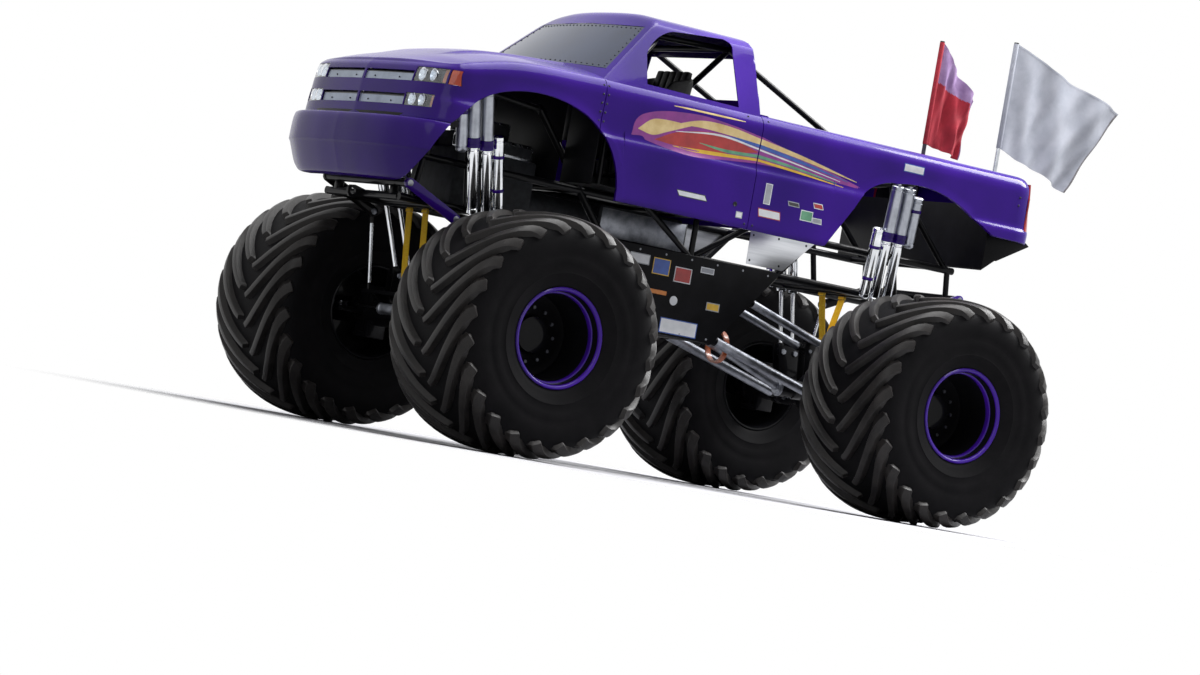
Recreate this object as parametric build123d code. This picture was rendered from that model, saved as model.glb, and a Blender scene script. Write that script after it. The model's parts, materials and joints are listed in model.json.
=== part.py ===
from build123d import *
import os
from math import atan2, cos, hypot, pi, radians, sin, tau

# A monster truck at its real size, in millimetres: +X to the nose, +Y to the left, +Z up, and
# the floor at z = 0. It is drawn about the middle of its wheelbase. Each piece is moved along X
# as it is written, so that the origin lies under the middle of the whole length, flags included.

# Wheels and axles
wheelbase = 3540
axle_x = wheelbase / 2
track = 2480               # between the middles of the two tyres of an axle
tyre_radius = 838          # 66 inch
tyre_width = 1030          # over the sidewalls
lug_count = 24             # on each half of the tread
lug_height = 42
lug_sweep = 37             # degrees that a lug turns from the tread's middle to its shoulder
lug_half_angle = 1.9       # degrees, half a lug's width at the tread's middle
sidewall_sides = 40        # flats of the sidewall rings
rim_radius = 345           # 25 inch rim, over its lips
rim_width = 880
rim_wall = 12
rim_sides = 20
disc_offset = 60           # outer face of the wheel disc, outboard of the tyre's middle
disc_thickness = 16
seat_clearance = 0.3
axle_tube = 190
axle_end = 740             # where the axle tube meets its yoke
diff_radius = 172
kingpin_y = 860
yoke_half_gap = 150        # half the height of the knuckle between the yoke's ears
ear_thickness = 38
steer_arm = 230
rod_diameter = 36
ram_diameter = 84
ram_length = 600

# Tube frame
frame_y = 500              # each side frame's plane
rail_diameter = 54
web_diameter = 44
tube_sides = 8             # flats of each tube
round_sides = 8            # flats of the wider round bodies
arc_chords = 4              # straight chords of each arc
belly_z = 1060
mid_z = 1620
upper_z = 1925
belly_x = 280
tower_top_z = 2480
plate_thickness = 4
hoop_x, hoop_drop = -20, 118        # rear roll hoop, and the roof tubes below the roof

# Suspension
shock_low_y = 500
shock_top_y = 725
shock_low_z = 1120
shock_pitch = 112          # between the two shocks of a corner
shock_sleeve = 94
shock_ring = 102
shock_tube = 80
shock_shaft = 34
shock_gap = 31             # half the room between the plates of a shock's tower
shock_pin = 36
shock_stub = 40
reservoir = 84
lower_link = 72
upper_link = 62
lower_gap = 42             # half the room between a lower link's ears
upper_gap = 36
ear_plate = 10
# Where shocks and links stand at each end, from the middle of the truck outwards.
shock_low_x = {1: axle_x - 25, -1: axle_x - 35}
shock_top_x = {1: axle_x + 360, -1: axle_x - 130}
lower_link_y = 300
upper_link_y = 200
lower_link_ends = ((400, 1090), (axle_x - 170, 775))
upper_link_ends = ((740, 1425), (axle_x - 70, 1150))
antiroll_bar = 60
antiroll_x = 2460
antiroll_z = 1720
antiroll_tip = (axle_x + 280, 1540)
antiroll_y = 560
antiroll_link = 32
axle_shelf_z = 987          # top of the axle truss's shelf

# Body shell
body_half_width = 990
wide = body_half_width      # the body's outlines are drawn from it
shell = 8
seam = 0.4                 # half of the seam between two body panels
nose_x = 2795
grille_x = 2655
tail_x = -2790
cowl_x = 1270              # seam between front clip and cab
cab_rear_x = -100          # seam between cab and bed
rocker_z = 1870
bumper_top_z = 2147
belt_z = 2705
roof_z = 3262
floor_thickness = 6
floor_z = upper_z + rail_diameter / 2 + seat_clearance

# Flags
pole_x = -2680
pole_y = 450
pole_diameter = 32
pole_top_z = 3742
flag_tip_x = -3820
cloth = 4

tow_bore = 22

lug_pitch = 360 / lug_count
axle_z = tyre_radius * cos(radians(lug_pitch / 4 - lug_half_angle))
disc_y = track / 2 + disc_offset
origin_x = (nose_x + flag_tip_x) / 2

os.makedirs("parts", exist_ok=True)


def save(node, *solids):
    moved = [Pos(-origin_x, 0, 0) * solid for solid in solids]
    whole = moved[0] if len(moved) == 1 else Compound(children=moved)
    export_step(whole, "parts/" + node + ".step")


def solids_of(*shapes):
    return [solid for shape in shapes for solid in shape.solids()]


def box(x, y, z):
    # Each of x, y and z is a low and a high value.
    size = [high - low for low, high in (x, y, z)]
    middle = [(high + low) / 2 for low, high in (x, y, z)]
    return Pos(*middle) * Box(*size)


def bar(start, end, diameter, sides=tube_sides):
    # A tube or rod as a prism, with a flat towards each side that another piece seats on.
    axis = Vector(*end) - Vector(*start)
    across = (1, 0, 0) if abs(axis.Y) > abs(axis.X) + abs(axis.Z) else (0, 1, 0)
    outline = RegularPolygon(diameter / 2, sides, major_radius=False, rotation=180 / sides)
    end_face = Plane(origin=start, x_dir=across, z_dir=axis) * outline
    return extrude(end_face, amount=axis.length, dir=axis.normalized())


def prism_reach(diameter, sides, angle=0):
    # How far a prism reaches from its axis, at an angle from one of its flats.
    return diameter / 2 / cos(pi / sides) * cos(pi / sides - angle)


def pierce(start, end, diameter):
    # A round hole's core.
    axis = Vector(*end) - Vector(*start)
    return Solid.make_cylinder(diameter / 2, axis.length, Plane(origin=start, z_dir=axis))


def side_prism(outline, y_low, y_high):
    # outline is a closed face drawn in x and z.
    return extrude(Plane.XZ.offset(-y_high) * outline, amount=y_high - y_low, dir=(0, -1, 0))


def front_prism(outline, x_low, x_high):
    # outline is a closed face drawn in y and z.
    return extrude(Plane.YZ.offset(x_low) * outline, amount=x_high - x_low, dir=(1, 0, 0))


def plan_prism(outline, z_low, z_high):
    return extrude(Plane.XY.offset(z_low) * outline, amount=z_high - z_low, dir=(0, 0, 1))


def polygon(*points):
    return Polygon(*points, align=None)


def turned(end, *points):
    # An outline seen from the side, drawn for the front and turned for the rear.
    return polygon(*[(end * x, z) for x, z in points])


def arc_points(start, via, end):
    # Points along the arc through three places, as straight chords.
    (ax, ay), (bx, by), (cx, cy) = start, via, end
    twice = 2 * (ax * (by - cy) + bx * (cy - ay) + cx * (ay - by))
    a2, b2, c2 = ax * ax + ay * ay, bx * bx + by * by, cx * cx + cy * cy
    mx = (a2 * (by - cy) + b2 * (cy - ay) + c2 * (ay - by)) / twice
    my = (a2 * (cx - bx) + b2 * (ax - cx) + c2 * (bx - ax)) / twice
    first = atan2(ay - my, ax - mx)
    turns = [(atan2(y - my, x - mx) - first) % tau for x, y in (via, end)]
    sweep = turns[1] if turns[0] < turns[1] else turns[1] - tau
    radius, points = hypot(ax - mx, ay - my), []
    for k in range(1, arc_chords):
        angle = first + sweep * k / arc_chords
        points.append((mx + radius * cos(angle), my + radius * sin(angle)))
    return points + [end]


def path_face(start, *steps):
    # A closed outline: a step is the end of a line, or an arc's middle and end.
    points = [start]
    for step in steps:
        points += arc_points(points[-1], *step) if isinstance(step[0], tuple) else [step]
    if points[0] == points[-1]:
        points.pop()
    return polygon(*points)


def mirrored(outline):
    # Closes a half outline, given from the middle outwards, with its mirror image.
    return outline + [(-across, up) for across, up in reversed(outline) if across]


def mirrored_across(outline):
    # The same for an outline seen from above, given as lengthways and across.
    return outline + [(along, -across) for along, across in reversed(outline) if across]


def other_side(shape):
    return mirror(shape, about=Plane.XZ)


# Tyres: each ring of the tread is an outline with a tooth for each lug, and the lugs run from
# ring to ring with a growing sweep.
def tread_ring(y, top, sweep, half_angle, stagger):
    ring = []
    for lug in range(lug_count):
        middle = lug * lug_pitch + sweep + stagger - 90
        for offset, radius in ((-1.5, top - lug_height), (-1, top), (1, top), (1.5, top - lug_height)):
            ring.append((radians(middle + offset * half_angle), radius, y))
    return ring


def round_ring(y, radius, sides):
    step = tau / sides
    return [(side * step, radius / cos(step / 2), y) for side in range(sides)]


def ring_point(vertex):
    angle, radius, y = vertex
    return (radius * cos(angle), y, radius * sin(angle))


def stitch(first, second):
    # Triangles between two rings, walking both by angle from the same start.
    start = first[0][0]
    second = sorted(second, key=lambda vertex: (vertex[0] - start) % tau)
    turns = []
    for ring in (first, second):
        angles = [(vertex[0] - start) % tau for vertex in ring]
        turns.append(angles + [angles[0] + tau])
    faces, a, b = [], 0, 0
    while a < len(first) or b < len(second):
        if b == len(second) or (a < len(first) and turns[0][a + 1] <= turns[1][b + 1]):
            corners = (first[a % len(first)], first[(a + 1) % len(first)], second[b % len(second)])
            a += 1
        else:
            corners = (first[a % len(first)], second[(b + 1) % len(second)], second[b % len(second)])
            b += 1
        faces.append(corners)
    return faces


def join_teeth(first, second):
    # Triangles between two tread rings with as many vertices, lug to lug.
    faces = []
    for k in range(len(first)):
        n = (k + 1) % len(first)
        faces.append((first[k], first[n], second[k]))
        faces.append((first[n], second[n], second[k]))
    return faces


def tyre():
    half = tyre_width / 2
    # Columns: share of the half width, drop of the lug's top, share of the sweep, lug's growth.
    tread = [(0.12, 0, 0, 1), (0.56, 6, 0.42, 1.05), (0.91, 44, 1, 1.35)]
    teeth, sides = [], []
    for side, stagger in ((1, -lug_pitch / 4), (-1, lug_pitch / 4)):
        rings = [
            tread_ring(side * share * half, tyre_radius - drop, turn * lug_sweep,
                       lug_half_angle * growth, stagger)
            for share, drop, turn, growth in tread
        ]
        teeth.append(rings)
        shoulder = round_ring(side * half, 640, sidewall_sides)
        bead = round_ring(side * rim_width / 2, rim_radius + seat_clearance, rim_sides)
        sides.append([shoulder, bead])
    corners = []
    for rings, rounds in zip(teeth, sides):
        corners += join_teeth(rings[0], rings[1]) + join_teeth(rings[1], rings[2])
        corners += stitch(rings[2], rounds[0]) + stitch(rounds[0], rounds[1])
    corners += join_teeth(teeth[0][0], teeth[1][0]) + join_teeth(sides[0][1], sides[1][1])
    faces = [Face(Wire.make_polygon([ring_point(v) for v in three])) for three in corners]
    return Solid(Shell(faces))


def rim(side):
    half, inner = rim_width / 2, rim_radius - rim_wall
    face, back = disc_offset, disc_offset - disc_thickness
    well = inner - 18
    outline = [
        (well, back), (inner - 6, -half), (rim_radius, -half),
        (rim_radius, half), (inner - 8, half), (well, face),
    ]
    rings = [round_ring(side * y, r, rim_sides) for r, y in outline]
    loops = [rings[0], rings[-1]]
    for near, far in zip(rings, rings[1:]):
        for k in range(rim_sides):
            beside = (k + 1) % rim_sides
            loops.append([near[k], near[beside], far[beside], far[k]])
    faces = [Face(Wire.make_polygon([Vector(*ring_point(v)) for v in loop])) for loop in loops]
    return Solid(Shell(faces))


def knuckle(end, side):
    # The kingpin's barrel, the hub's housing out to the wheel disc, and the steering arm.
    pin_height, pad = yoke_half_gap - seat_clearance, 10
    barrel = box((-55, 55), (-58, 55), (-pin_height, pin_height))
    reach = disc_y - disc_thickness - seat_clearance - kingpin_y
    housing = bar((0, 40, 0), (0, reach, 0), 190, round_sides)
    arm = box((40, steer_arm + 28), (-30, 30), (-24, pad))
    stud = bar((steer_arm, 0, 0), (steer_arm, 0, pad + 34), 24)
    whole = barrel + housing + arm + stud
    if end < 0:
        whole = mirror(whole, about=Plane.YZ)
    if side < 0:
        whole = other_side(whole)
    return Pos(end * axle_x, side * kingpin_y, axle_z) * whole


def steering_rod(end):
    # The ram's through rod, with a loose eye round the stud of each steering arm.
    level, eye_height = 25, 24
    whole = bar((0, -kingpin_y + 38, level), (0, kingpin_y - 38, level), rod_diameter)
    for side in (1, -1):
        low, high = ((0, side * kingpin_y, level + k * eye_height / 2) for k in (-1, 1))
        whole = whole + bar(low, high, 90, round_sides) - bar(low, high, 56, round_sides)
    return Pos(end * (axle_x + steer_arm), 0, axle_z) * whole


def axle(end):
    # Drawn for the front: the pinion points back to the middle of the truck.
    whole = bar((0, -axle_end, 0), (0, axle_end, 0), axle_tube, round_sides)
    whole += bar((0, -130, 0), (0, 130, 0), 2 * diff_radius, round_sides)
    whole += bar((-120, 0, 0), (-420, 0, 0), 150, round_sides)
    ear_low, ear_high = yoke_half_gap, yoke_half_gap + ear_thickness
    shelf = axle_shelf_z - axle_z
    low_x = shock_low_x[end] - axle_x
    tower = polygon((-80, 30), (80, 30), (low_x + 105, 330), (low_x - 105, 330))
    lower_ear = polygon((40, -70), (-70, 70), (-205, -20), (-205, -105), (-130, -115))
    upper_ear = polygon((-80, 60), (70, 60), (-20, 400), (-120, 400))
    gusset = polygon((30, 60), (70, -20), (240, shelf - 25), (150, shelf - 10))
    for side in (1, -1):
        flange = sorted((side * (axle_end - 42), side * (axle_end + 10)))
        whole += box((-75, 75), flange, (-ear_high, ear_high))
        for level in ((ear_low, ear_high), (-ear_high, -ear_low)):
            whole += box((-70, 70), sorted((side * axle_end, side * (kingpin_y + 62))), level)
        # Columns: outline, middle, half the room between the pair of plates.
        for outline, middle, gap in ((tower, shock_low_y, shock_gap), (lower_ear, lower_link_y, lower_gap),
                                     (upper_ear, upper_link_y, upper_gap)):
            whole += ears(outline, side * middle, gap)
        whole += side_prism(gusset, side * 420 - 6, side * 420 + 6)
        for slot in (-0.5, 0.5):
            at_x = low_x + slot * shock_pitch
            reach, at_z = shock_gap + ear_plate + 6, shock_low_z - axle_z
            at_y = side * shock_low_y
            whole += bar((at_x, at_y - reach, at_z), (at_x, at_y + reach, at_z), shock_pin)
    whole += box((150, 240), (-590, 590), (shelf - 25, shelf))
    whole += box((-110, -30), (-206, 206), (375, 400))
    ram_x, level = steer_arm, 25
    ram = bar((ram_x, -ram_length / 2, level), (ram_x, ram_length / 2, level), ram_diameter)
    for side in (1, -1):
        ram += box((60, ram_x), (side * 235 - 15, side * 235 + 15), (-15, 60))
    whole += ram
    whole -= bar((ram_x, -ram_length, level), (ram_x, ram_length, level), rod_diameter + 2 * seat_clearance)
    if end < 0:
        whole = mirror(whole, about=Plane.YZ)
    return Pos(end * axle_x, 0, axle_z) * whole


def ears(outline, middle, gap):
    near = side_prism(outline, middle - gap - ear_plate, middle - gap)
    return near + side_prism(outline, middle + gap, middle + gap + ear_plate)


# Links and shocks
def link_bars():
    pieces = []
    for end in (1, -1):
        for side in (1, -1):
            # Columns: ends in x and z, across, half the room between its ears, diameter.
            for (start, stop), y, gap, diameter in ((lower_link_ends, lower_link_y, lower_gap, lower_link),
                                                    (upper_link_ends, upper_link_y, upper_gap, upper_link)):
                near = (end * start[0], side * y, start[1])
                far = (end * stop[0], side * y, stop[1])
                link = bar(near, far, diameter)
                for x, middle, z in (near, far):
                    reach = gap - seat_clearance
                    link += bar((x, middle - reach, z), (x, middle + reach, z), diameter + 22)
                pieces.append(link)
            tip_x, tip_z = antiroll_tip
            pieces.append(bar((end * (tip_x - 80), side * antiroll_y, axle_shelf_z + 3),
                              (end * tip_x, side * antiroll_y, tip_z - 39), antiroll_link))
    return solids_of(*pieces)


def shock_rows():
    # Each row: lower and upper end, the truck's end, and which of the two shocks it is.
    rows = []
    for end in (1, -1):
        for side in (1, -1):
            for slot in (-0.5, 0.5):
                low = Vector(end * (shock_low_x[end] + slot * shock_pitch), side * shock_low_y, shock_low_z)
                top = Vector(end * (shock_top_x[end] + slot * shock_pitch), side * shock_top_y, tower_top_z)
                rows.append((low, top, end, slot))
    return rows


def along(low, top, start, stop, diameter, beside=0):
    # A cylinder between two distances along a shock, or beside it and parallel.
    way = (top - low).normalized()
    square = (Vector(1, 0, 0) - way * way.X).normalized()
    ends = [low + way * at + square * beside for at in (start, stop)]
    return bar(tuple(ends[0]), tuple(ends[1]), diameter, round_sides)


def shocks():
    # Returns the grey sleeves, the bright tubes with their shafts, and the clamp rings.
    sleeves, tubes, rings = [], [], []
    for low, top, end, slot in shock_rows():
        way = (top - low).normalized()
        length, lean, tilt = (top - low).length, abs(way.Y), atan2(abs(way.X), way.Z)
        ring_at = length - 420
        foot = prism_reach(shock_pin, tube_sides, tilt) + shock_shaft / 2 * lean + seat_clearance
        sleeve_corner = prism_reach(shock_sleeve, round_sides, pi / round_sides)
        cap = prism_reach(shock_stub, tube_sides, tilt) + sleeve_corner * lean
        head = length - cap - seat_clearance
        sleeves.append(along(low, top, ring_at + 35, head, shock_sleeve))
        rings.append(along(low, top, ring_at - 35, ring_at + 35, shock_ring))
        tube = along(low, top, ring_at - 500, ring_at - 35, shock_tube)
        tubes.append(tube + along(low, top, foot, ring_at - 500, shock_shaft))
        # The outer shock's reservoir stands up beside its sleeve, the inner one's hangs.
        beside = end * (1 if slot > 0 else -1) * ((shock_ring + reservoir) / 2 + seat_clearance)
        if slot > 0:
            sleeves.append(along(low, top, ring_at - 60, ring_at + 330, reservoir, beside))
        else:
            tubes.append(along(low, top, ring_at - 480, ring_at + 60, reservoir, beside))
    return solids_of(*sleeves), solids_of(*tubes), rings


def antiroll_bars():
    # The torsion bars with their right arms, and the left arms by themselves.
    bars, arms = [], []
    tip_x, tip_z = antiroll_tip
    for end in (1, -1):
        dx, dz = tip_x - antiroll_x, tip_z - antiroll_z
        length = Vector(dx, dz).length
        nx, nz = -dz / length * 36, dx / length * 36
        outline = polygon(*[(end * x, z) for x, z in (
            (antiroll_x + nx, antiroll_z + nz), (tip_x + nx, tip_z + nz),
            (tip_x - nx, tip_z - nz), (antiroll_x - nx, antiroll_z - nz))])
        for side in (1, -1):
            arm = side_prism(outline, side * antiroll_y - 18, side * antiroll_y + 18)
            for x, z in ((antiroll_x, antiroll_z), (tip_x, tip_z)):
                arm += bar((end * x, side * antiroll_y - 18, z), (end * x, side * antiroll_y + 18, z), 72)
            (arms if side > 0 else bars).append(arm)
        bars[-1] += bar((end * antiroll_x, -antiroll_y, antiroll_z),
                        (end * antiroll_x, antiroll_y - 18 - seat_clearance, antiroll_z), antiroll_bar)
    return solids_of(*bars), solids_of(*arms)


def limit_straps():
    # Columns: top x and z, foot x and z, y.
    rows = [
        (2030, mid_z - rail_diameter / 2 - seat_clearance, axle_x + 195, axle_shelf_z + seat_clearance, -100),
        (2050, mid_z - rail_diameter / 2 - seat_clearance, axle_x + 215, axle_shelf_z + seat_clearance, 150),
        (-1600, mid_z - web_diameter / 2 - seat_clearance, 88 - axle_x, axle_z + 400 + seat_clearance, 0),
        (-1800, mid_z - web_diameter / 2 - seat_clearance, 48 - axle_x, axle_z + 400 + seat_clearance, 0),
    ]
    straps = []
    for x_top, z_top, x_foot, z_foot, y in rows:
        outline = polygon((x_top - 5, z_top), (x_top + 5, z_top), (x_foot + 5, z_foot), (x_foot - 5, z_foot))
        straps.append(side_prism(outline, y - 38, y + 38))
    return solids_of(*straps)


# Tube frame: each side is a flat truss, and a row is one tube in the side's plane.
def frame_side():
    front_top, rear_top = shock_top_x[1], -shock_top_x[-1]
    shoulder_z = tower_top_z - 60
    rear_shoulder, front_shoulder = rear_top + 160, front_top - 650
    # Columns: start x and z, end x and z, diameter.
    tubes = [
        (-belly_x, belly_z, belly_x, belly_z, rail_diameter),
        (-2490, mid_z, 2490, mid_z, rail_diameter),
        (-2400, upper_z, 2400, upper_z, rail_diameter),
        (-belly_x, belly_z, rear_shoulder, shoulder_z, rail_diameter),
        (belly_x, belly_z, front_shoulder, shoulder_z, rail_diameter),
        (rear_shoulder, shoulder_z, rear_top - shock_pitch, tower_top_z, web_diameter),
        (front_shoulder, shoulder_z, front_top + shock_pitch, tower_top_z, web_diameter),
        (0, belly_z, 0, upper_z, web_diameter),
        (0, mid_z, -470, upper_z, web_diameter),
        (0, mid_z, 470, upper_z, web_diameter),
        (-1900, mid_z, rear_top - shock_pitch / 2, tower_top_z, web_diameter),
        (1940, mid_z, front_top - shock_pitch / 2, tower_top_z, web_diameter),
        (rear_top - shock_pitch, tower_top_z, -2330, upper_z, web_diameter),
        (front_top + shock_pitch, tower_top_z, 2330, upper_z, web_diameter),
        (-2390, mid_z, -2350, upper_z, web_diameter),
        (2390, mid_z, 2350, upper_z, web_diameter),
    ]
    whole = None
    for x_start, z_start, x_end, z_end, diameter in tubes:
        tube = bar((x_start, frame_y, z_start), (x_end, frame_y, z_end), diameter)
        whole = tube if whole is None else whole + tube
    for top in (front_top, rear_top):
        for slot in (-0.5, 0.5):
            at = top + slot * shock_pitch
            whole += bar((at, frame_y - 10, tower_top_z), (at, shock_top_y + 60, tower_top_z), shock_stub)
    return whole


def frame_crossmembers():
    reach = frame_y - rail_diameter / 2 - seat_clearance
    # Columns: x, z, diameter.
    rows = [
        (-2470, mid_z, rail_diameter), (-1800, mid_z, web_diameter), (-1600, mid_z, web_diameter),
        (-1250, mid_z, web_diameter), (1300, mid_z, web_diameter), (1850, mid_z, web_diameter),
        (2040, mid_z, rail_diameter), (2470, mid_z, rail_diameter), (-2200, upper_z, web_diameter),
        (-1000, upper_z, web_diameter), (0, upper_z, web_diameter), (1000, upper_z, web_diameter),
        (2300, upper_z, web_diameter),
    ]
    tubes = [bar((x, -reach, z), (x, reach, z), diameter) for x, z, diameter in rows]
    for end in (1, -1):
        # The belly tube carries the lower links' ears, and a middle tube the upper links'.
        belly = bar((end * belly_x, -reach, belly_z), (end * belly_x, reach, belly_z), rail_diameter)
        middle = bar((end * 730, -reach, mid_z), (end * 730, reach, mid_z), web_diameter)
        low_ear = turned(end, (260, 1035), (265, 1080), (400, 1150), (445, 1120), (445, 1050), (400, 1030))
        high_ear = turned(end, (690, 1625), (770, 1625), (785, 1400), (735, 1375), (695, 1400))
        for side in (1, -1):
            belly += ears(low_ear, side * lower_link_y, lower_gap)
            middle += ears(high_ear, side * upper_link_y, upper_gap)
        tubes += [belly, middle]
    for end, row in ((1, 7), (-1, 0)):
        # A tow eye in the middle of the end tube, and saddles under the anti-roll bar.
        tongue = turned(end, (2470, 1645), (2470, 1595), (2560, 1575), (2610, 1590), (2610, 1650),
                        (2560, 1665))
        eye = side_prism(tongue, -12, 12)
        eye -= pierce((end * 2570, -30, mid_z), (end * 2570, 30, mid_z), 2 * tow_bore)
        tubes[row] += eye
        for side in (1, -1):
            saddle = sorted((end * 2440, end * 2490))
            tubes[row] += box(saddle, (side * 380 - 20, side * 380 + 20),
                              (mid_z, antiroll_z - antiroll_bar / 2 - seat_clearance))
    return solids_of(*tubes)


def roll_cage():
    # Each hoop's corners from its left foot over the roof to its right foot, in x, y and z.
    foot_z, cut = floor_z + floor_thickness + seat_clearance, 110
    roof_tube_z = roof_z - hoop_drop
    foot_y, roof_y = wide - 150, wide - 400
    hoops = [
        [(hoop_x, foot_y), (hoop_x, foot_y, belt_z), (hoop_x, roof_y, roof_tube_z)],
        [(1120, foot_y), (1120, foot_y, belt_z - 20), (650, roof_y, roof_tube_z - 25)],
    ]
    whole = None
    for (x, y), *bends in hoops:
        left = [(x, y, foot_z)] + bends
        right = [(x, -y, z) for x, y, z in reversed(left)]
        route = Polyline(*cut_corners(left + right, cut))
        outline = RegularPolygon(web_diameter / 2, tube_sides, major_radius=False)
        foot = Plane(origin=left[0], z_dir=(0, 0, 1)) * outline
        tube = sweep(foot, path=route, transition=Transition.RIGHT)
        whole = tube if whole is None else whole + tube
    for side in (1, -1):
        whole += bar((hoop_x, side * 500, roof_tube_z), (650, side * 500, roof_tube_z - 25), web_diameter)
        whole += bar((hoop_x, side * foot_y, 2480), (1120, side * foot_y, 2250), web_diameter)
        whole += bar((hoop_x, side * 500, roof_tube_z), brace_foot(side), web_diameter)
    whole += bar((hoop_x, 500, roof_tube_z), (hoop_x, -foot_y, 2250), web_diameter)
    return whole


def cut_corners(points, cut):
    # Each inner corner becomes two, as far from it as cut.
    route = [Vector(*points[0])]
    for before, corner, after in zip(points, points[1:], points[2:]):
        corner = Vector(*corner)
        for other in (before, after):
            route.append(corner + (Vector(*other) - corner).normalized() * cut)
    return route + [Vector(*points[-1])]


def brace_foot(side):
    return (-1560, side * frame_y, tower_top_z + 6)


# The body shell: an outer form cut from three outlines, less the same form set in by the wall.
def section(inset):
    # Half of the body across, in y and z, from the crown of the hood down.
    points = [(0, 2792), (wide - 570, 2778), (wide - 230, 2738), (wide - 90, 2688), (wide - 25, 2630),
              (wide - 8, 2580), (wide - 18, 2330), (wide, 2300), (wide, 1400)]
    return set_in(polygon(*mirrored(points)), inset)


def set_in(outline, inset):
    return offset(outline, amount=-inset, kind=Kind.INTERSECTION) if inset else outline


def plan(inset):
    points = [(grille_x, 0)]
    for arc in (((2640, wide - 570), (2590, wide - 270)), ((2545, wide - 110), (2440, wide + 10))):
        points += arc_points(points[-1], *arc)
    points.append((-2640, wide + 10))
    points += arc_points(points[-1], (-2745, wide - 50), (-2775, wide - 230))
    return set_in(polygon(*mirrored_across(points + [(tail_x, 0)])), inset)


def profile(inset):
    return set_in(path_face(
        (grille_x + 20, 1400), (grille_x + 20, bumper_top_z), (grille_x + 5, 2330), (2612, 2535),
        ((2300, 2650), (1942, 2715)), (cowl_x - 2, 2765), (cowl_x - 2, belt_z), (-2600, belt_z),
        (-2700, 2690), (tail_x - 5, 2330), (tail_x - 5, 1400),
    ), inset)


def body_form(inset):
    across = side_prism(profile(inset), -1100, 1100)
    lengthways = front_prism(section(inset), -2900, 2900)
    upright = plan_prism(plan(inset), 1200, 2900)
    return across & lengthways & upright


def front_arch():
    return side_prism(path_face(
        (2640, 1500), (2620, 1720), ((2420, 2190), (2100, 2432)), ((1760, 2480), (1416, 2415)),
        ((1150, 2200), (1056, 1850)), (1056, 1500)), -1100, 1100)


def rear_arch():
    return side_prism(path_face(
        (-770, 1500), (-800, rocker_z), (-1016, 2194), ((-1150, 2360), (-1382, 2432)),
        ((-1720, 2446), (-2070, 2340)), (-2332, 2212), (-2900, 2206), (-2900, 1500)), -1100, 1100)


def everywhere(x, z):
    return box(x, (-1100, 1100), z)


# Openings in the nose. Columns: low z, high z, inner y, outer y.
lamp_rows = [(2405, 2510, wide - 390, wide - 90), (2232, 2322, wide - 420, wide - 140)]
marker_rows = [(2405, 2510, wide - 82, wide - 30)]
grille_rows = [(2405, 2478, 12, wide - 470), (2236, 2312, 12, wide - 490)]


def nose_room(row, gap):
    low, high, inner, outer = row
    return [box((2300, 2800), sorted((side * (inner + gap), side * (outer - gap))), (low + gap, high - gap))
            for side in (1, -1)]


def nose_insert(rows, depth):
    # Pieces that fill the nose's openings, from just behind its outer face.
    face = (body_form(3) - body_form(3 + depth)) & everywhere((2300, 2800), (2200, 2560))
    return solids_of(*[face & room for row in rows for room in nose_room(row, seat_clearance)])


def lamp_corner(gap):
    x, z = (tail_x - 20, -2655 - gap), (2300 + gap, 2660 - gap)
    rear = [box(x, sorted((side * (wide - 170 + gap), side * 1100)), z) for side in (1, -1)]
    return rear[0] + rear[1]


def front_clip(walls):
    clip = walls & everywhere((cowl_x + seam, 2900), (bumper_top_z + seam, 2900))
    for row in lamp_rows + marker_rows + grille_rows:
        for room in nose_room(row, 0):
            clip -= room
    return clip - cab_form(-seam)


def bumper_form(inset):
    across = path_face((2200, 1400), (2200, bumper_top_z + 100), (2745, bumper_top_z + 100), (2790, 2080),
                       (nose_x + 1, 1940), (2745, 1790), (2650, 1400))
    points = [(nose_x, 0)]
    for arc in (((2768, wide - 520), (2655, wide - 110)), ((2590, wide - 28), (2470, wide))):
        points += arc_points(points[-1], *arc)
    above = polygon(*mirrored_across(points + [(2100, wide)]))
    side_view = side_prism(set_in(across, inset), -1100, 1100)
    return side_view & plan_prism(set_in(above, inset), 1300, 2400)


def front_bumper():
    skin = bumper_form(0) - bumper_form(shell)
    room = everywhere((2300, 2900), (1600, bumper_top_z)) - front_arch()
    lip = polygon((2200, 1400), (2900, 1400), (2900, 1735), (2660, 1712), (2200, 1712))
    room -= side_prism(lip, -1100, 1100)
    # The ledge closes the bumper's top back to the grille.
    ledge = bumper_form(shell / 2) & everywhere((2560, 2900), (bumper_top_z - shell, bumper_top_z))
    return (skin & room) + (ledge & room)


def cab_form(inset):
    # The roof and its pillars: a raked plan, a tapering section and a side outline.
    base, across, foot_x = 2645, wide - 40 - inset, cowl_x + 40 - inset
    rake = Vector(-545, 0, 490)
    front = ((foot_x + 150, 0), (foot_x, across))
    foot = path_face((foot_x, -across), front, (-900, across), (-900, -across))
    raked = extrude(Plane.XY.offset(base) * foot, amount=1150, dir=rake)
    taper = polygon(*mirrored([
        (0, roof_z - inset), (wide - 610, roof_z - 8 - inset), (wide - 370, roof_z - 46 - inset),
        (wide - 268 - inset, roof_z - 100 - inset), (wide - 46 - inset, base)]))
    outline = path_face((cab_rear_x + seam + inset, base), (-88 + inset, 3020), (-30 + inset, roof_z + 20),
                        (1700, roof_z + 20), (1700, base))
    return raked & front_prism(taper, -300, 1700) & side_prism(outline, -1100, 1100)


def screen_room(gap):
    outline = mirrored([(wide - 335 - gap, 3142 - gap), (wide - 175 - gap, 2772 + gap)])
    return front_prism(polygon(*outline), 600, 1800)


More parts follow.
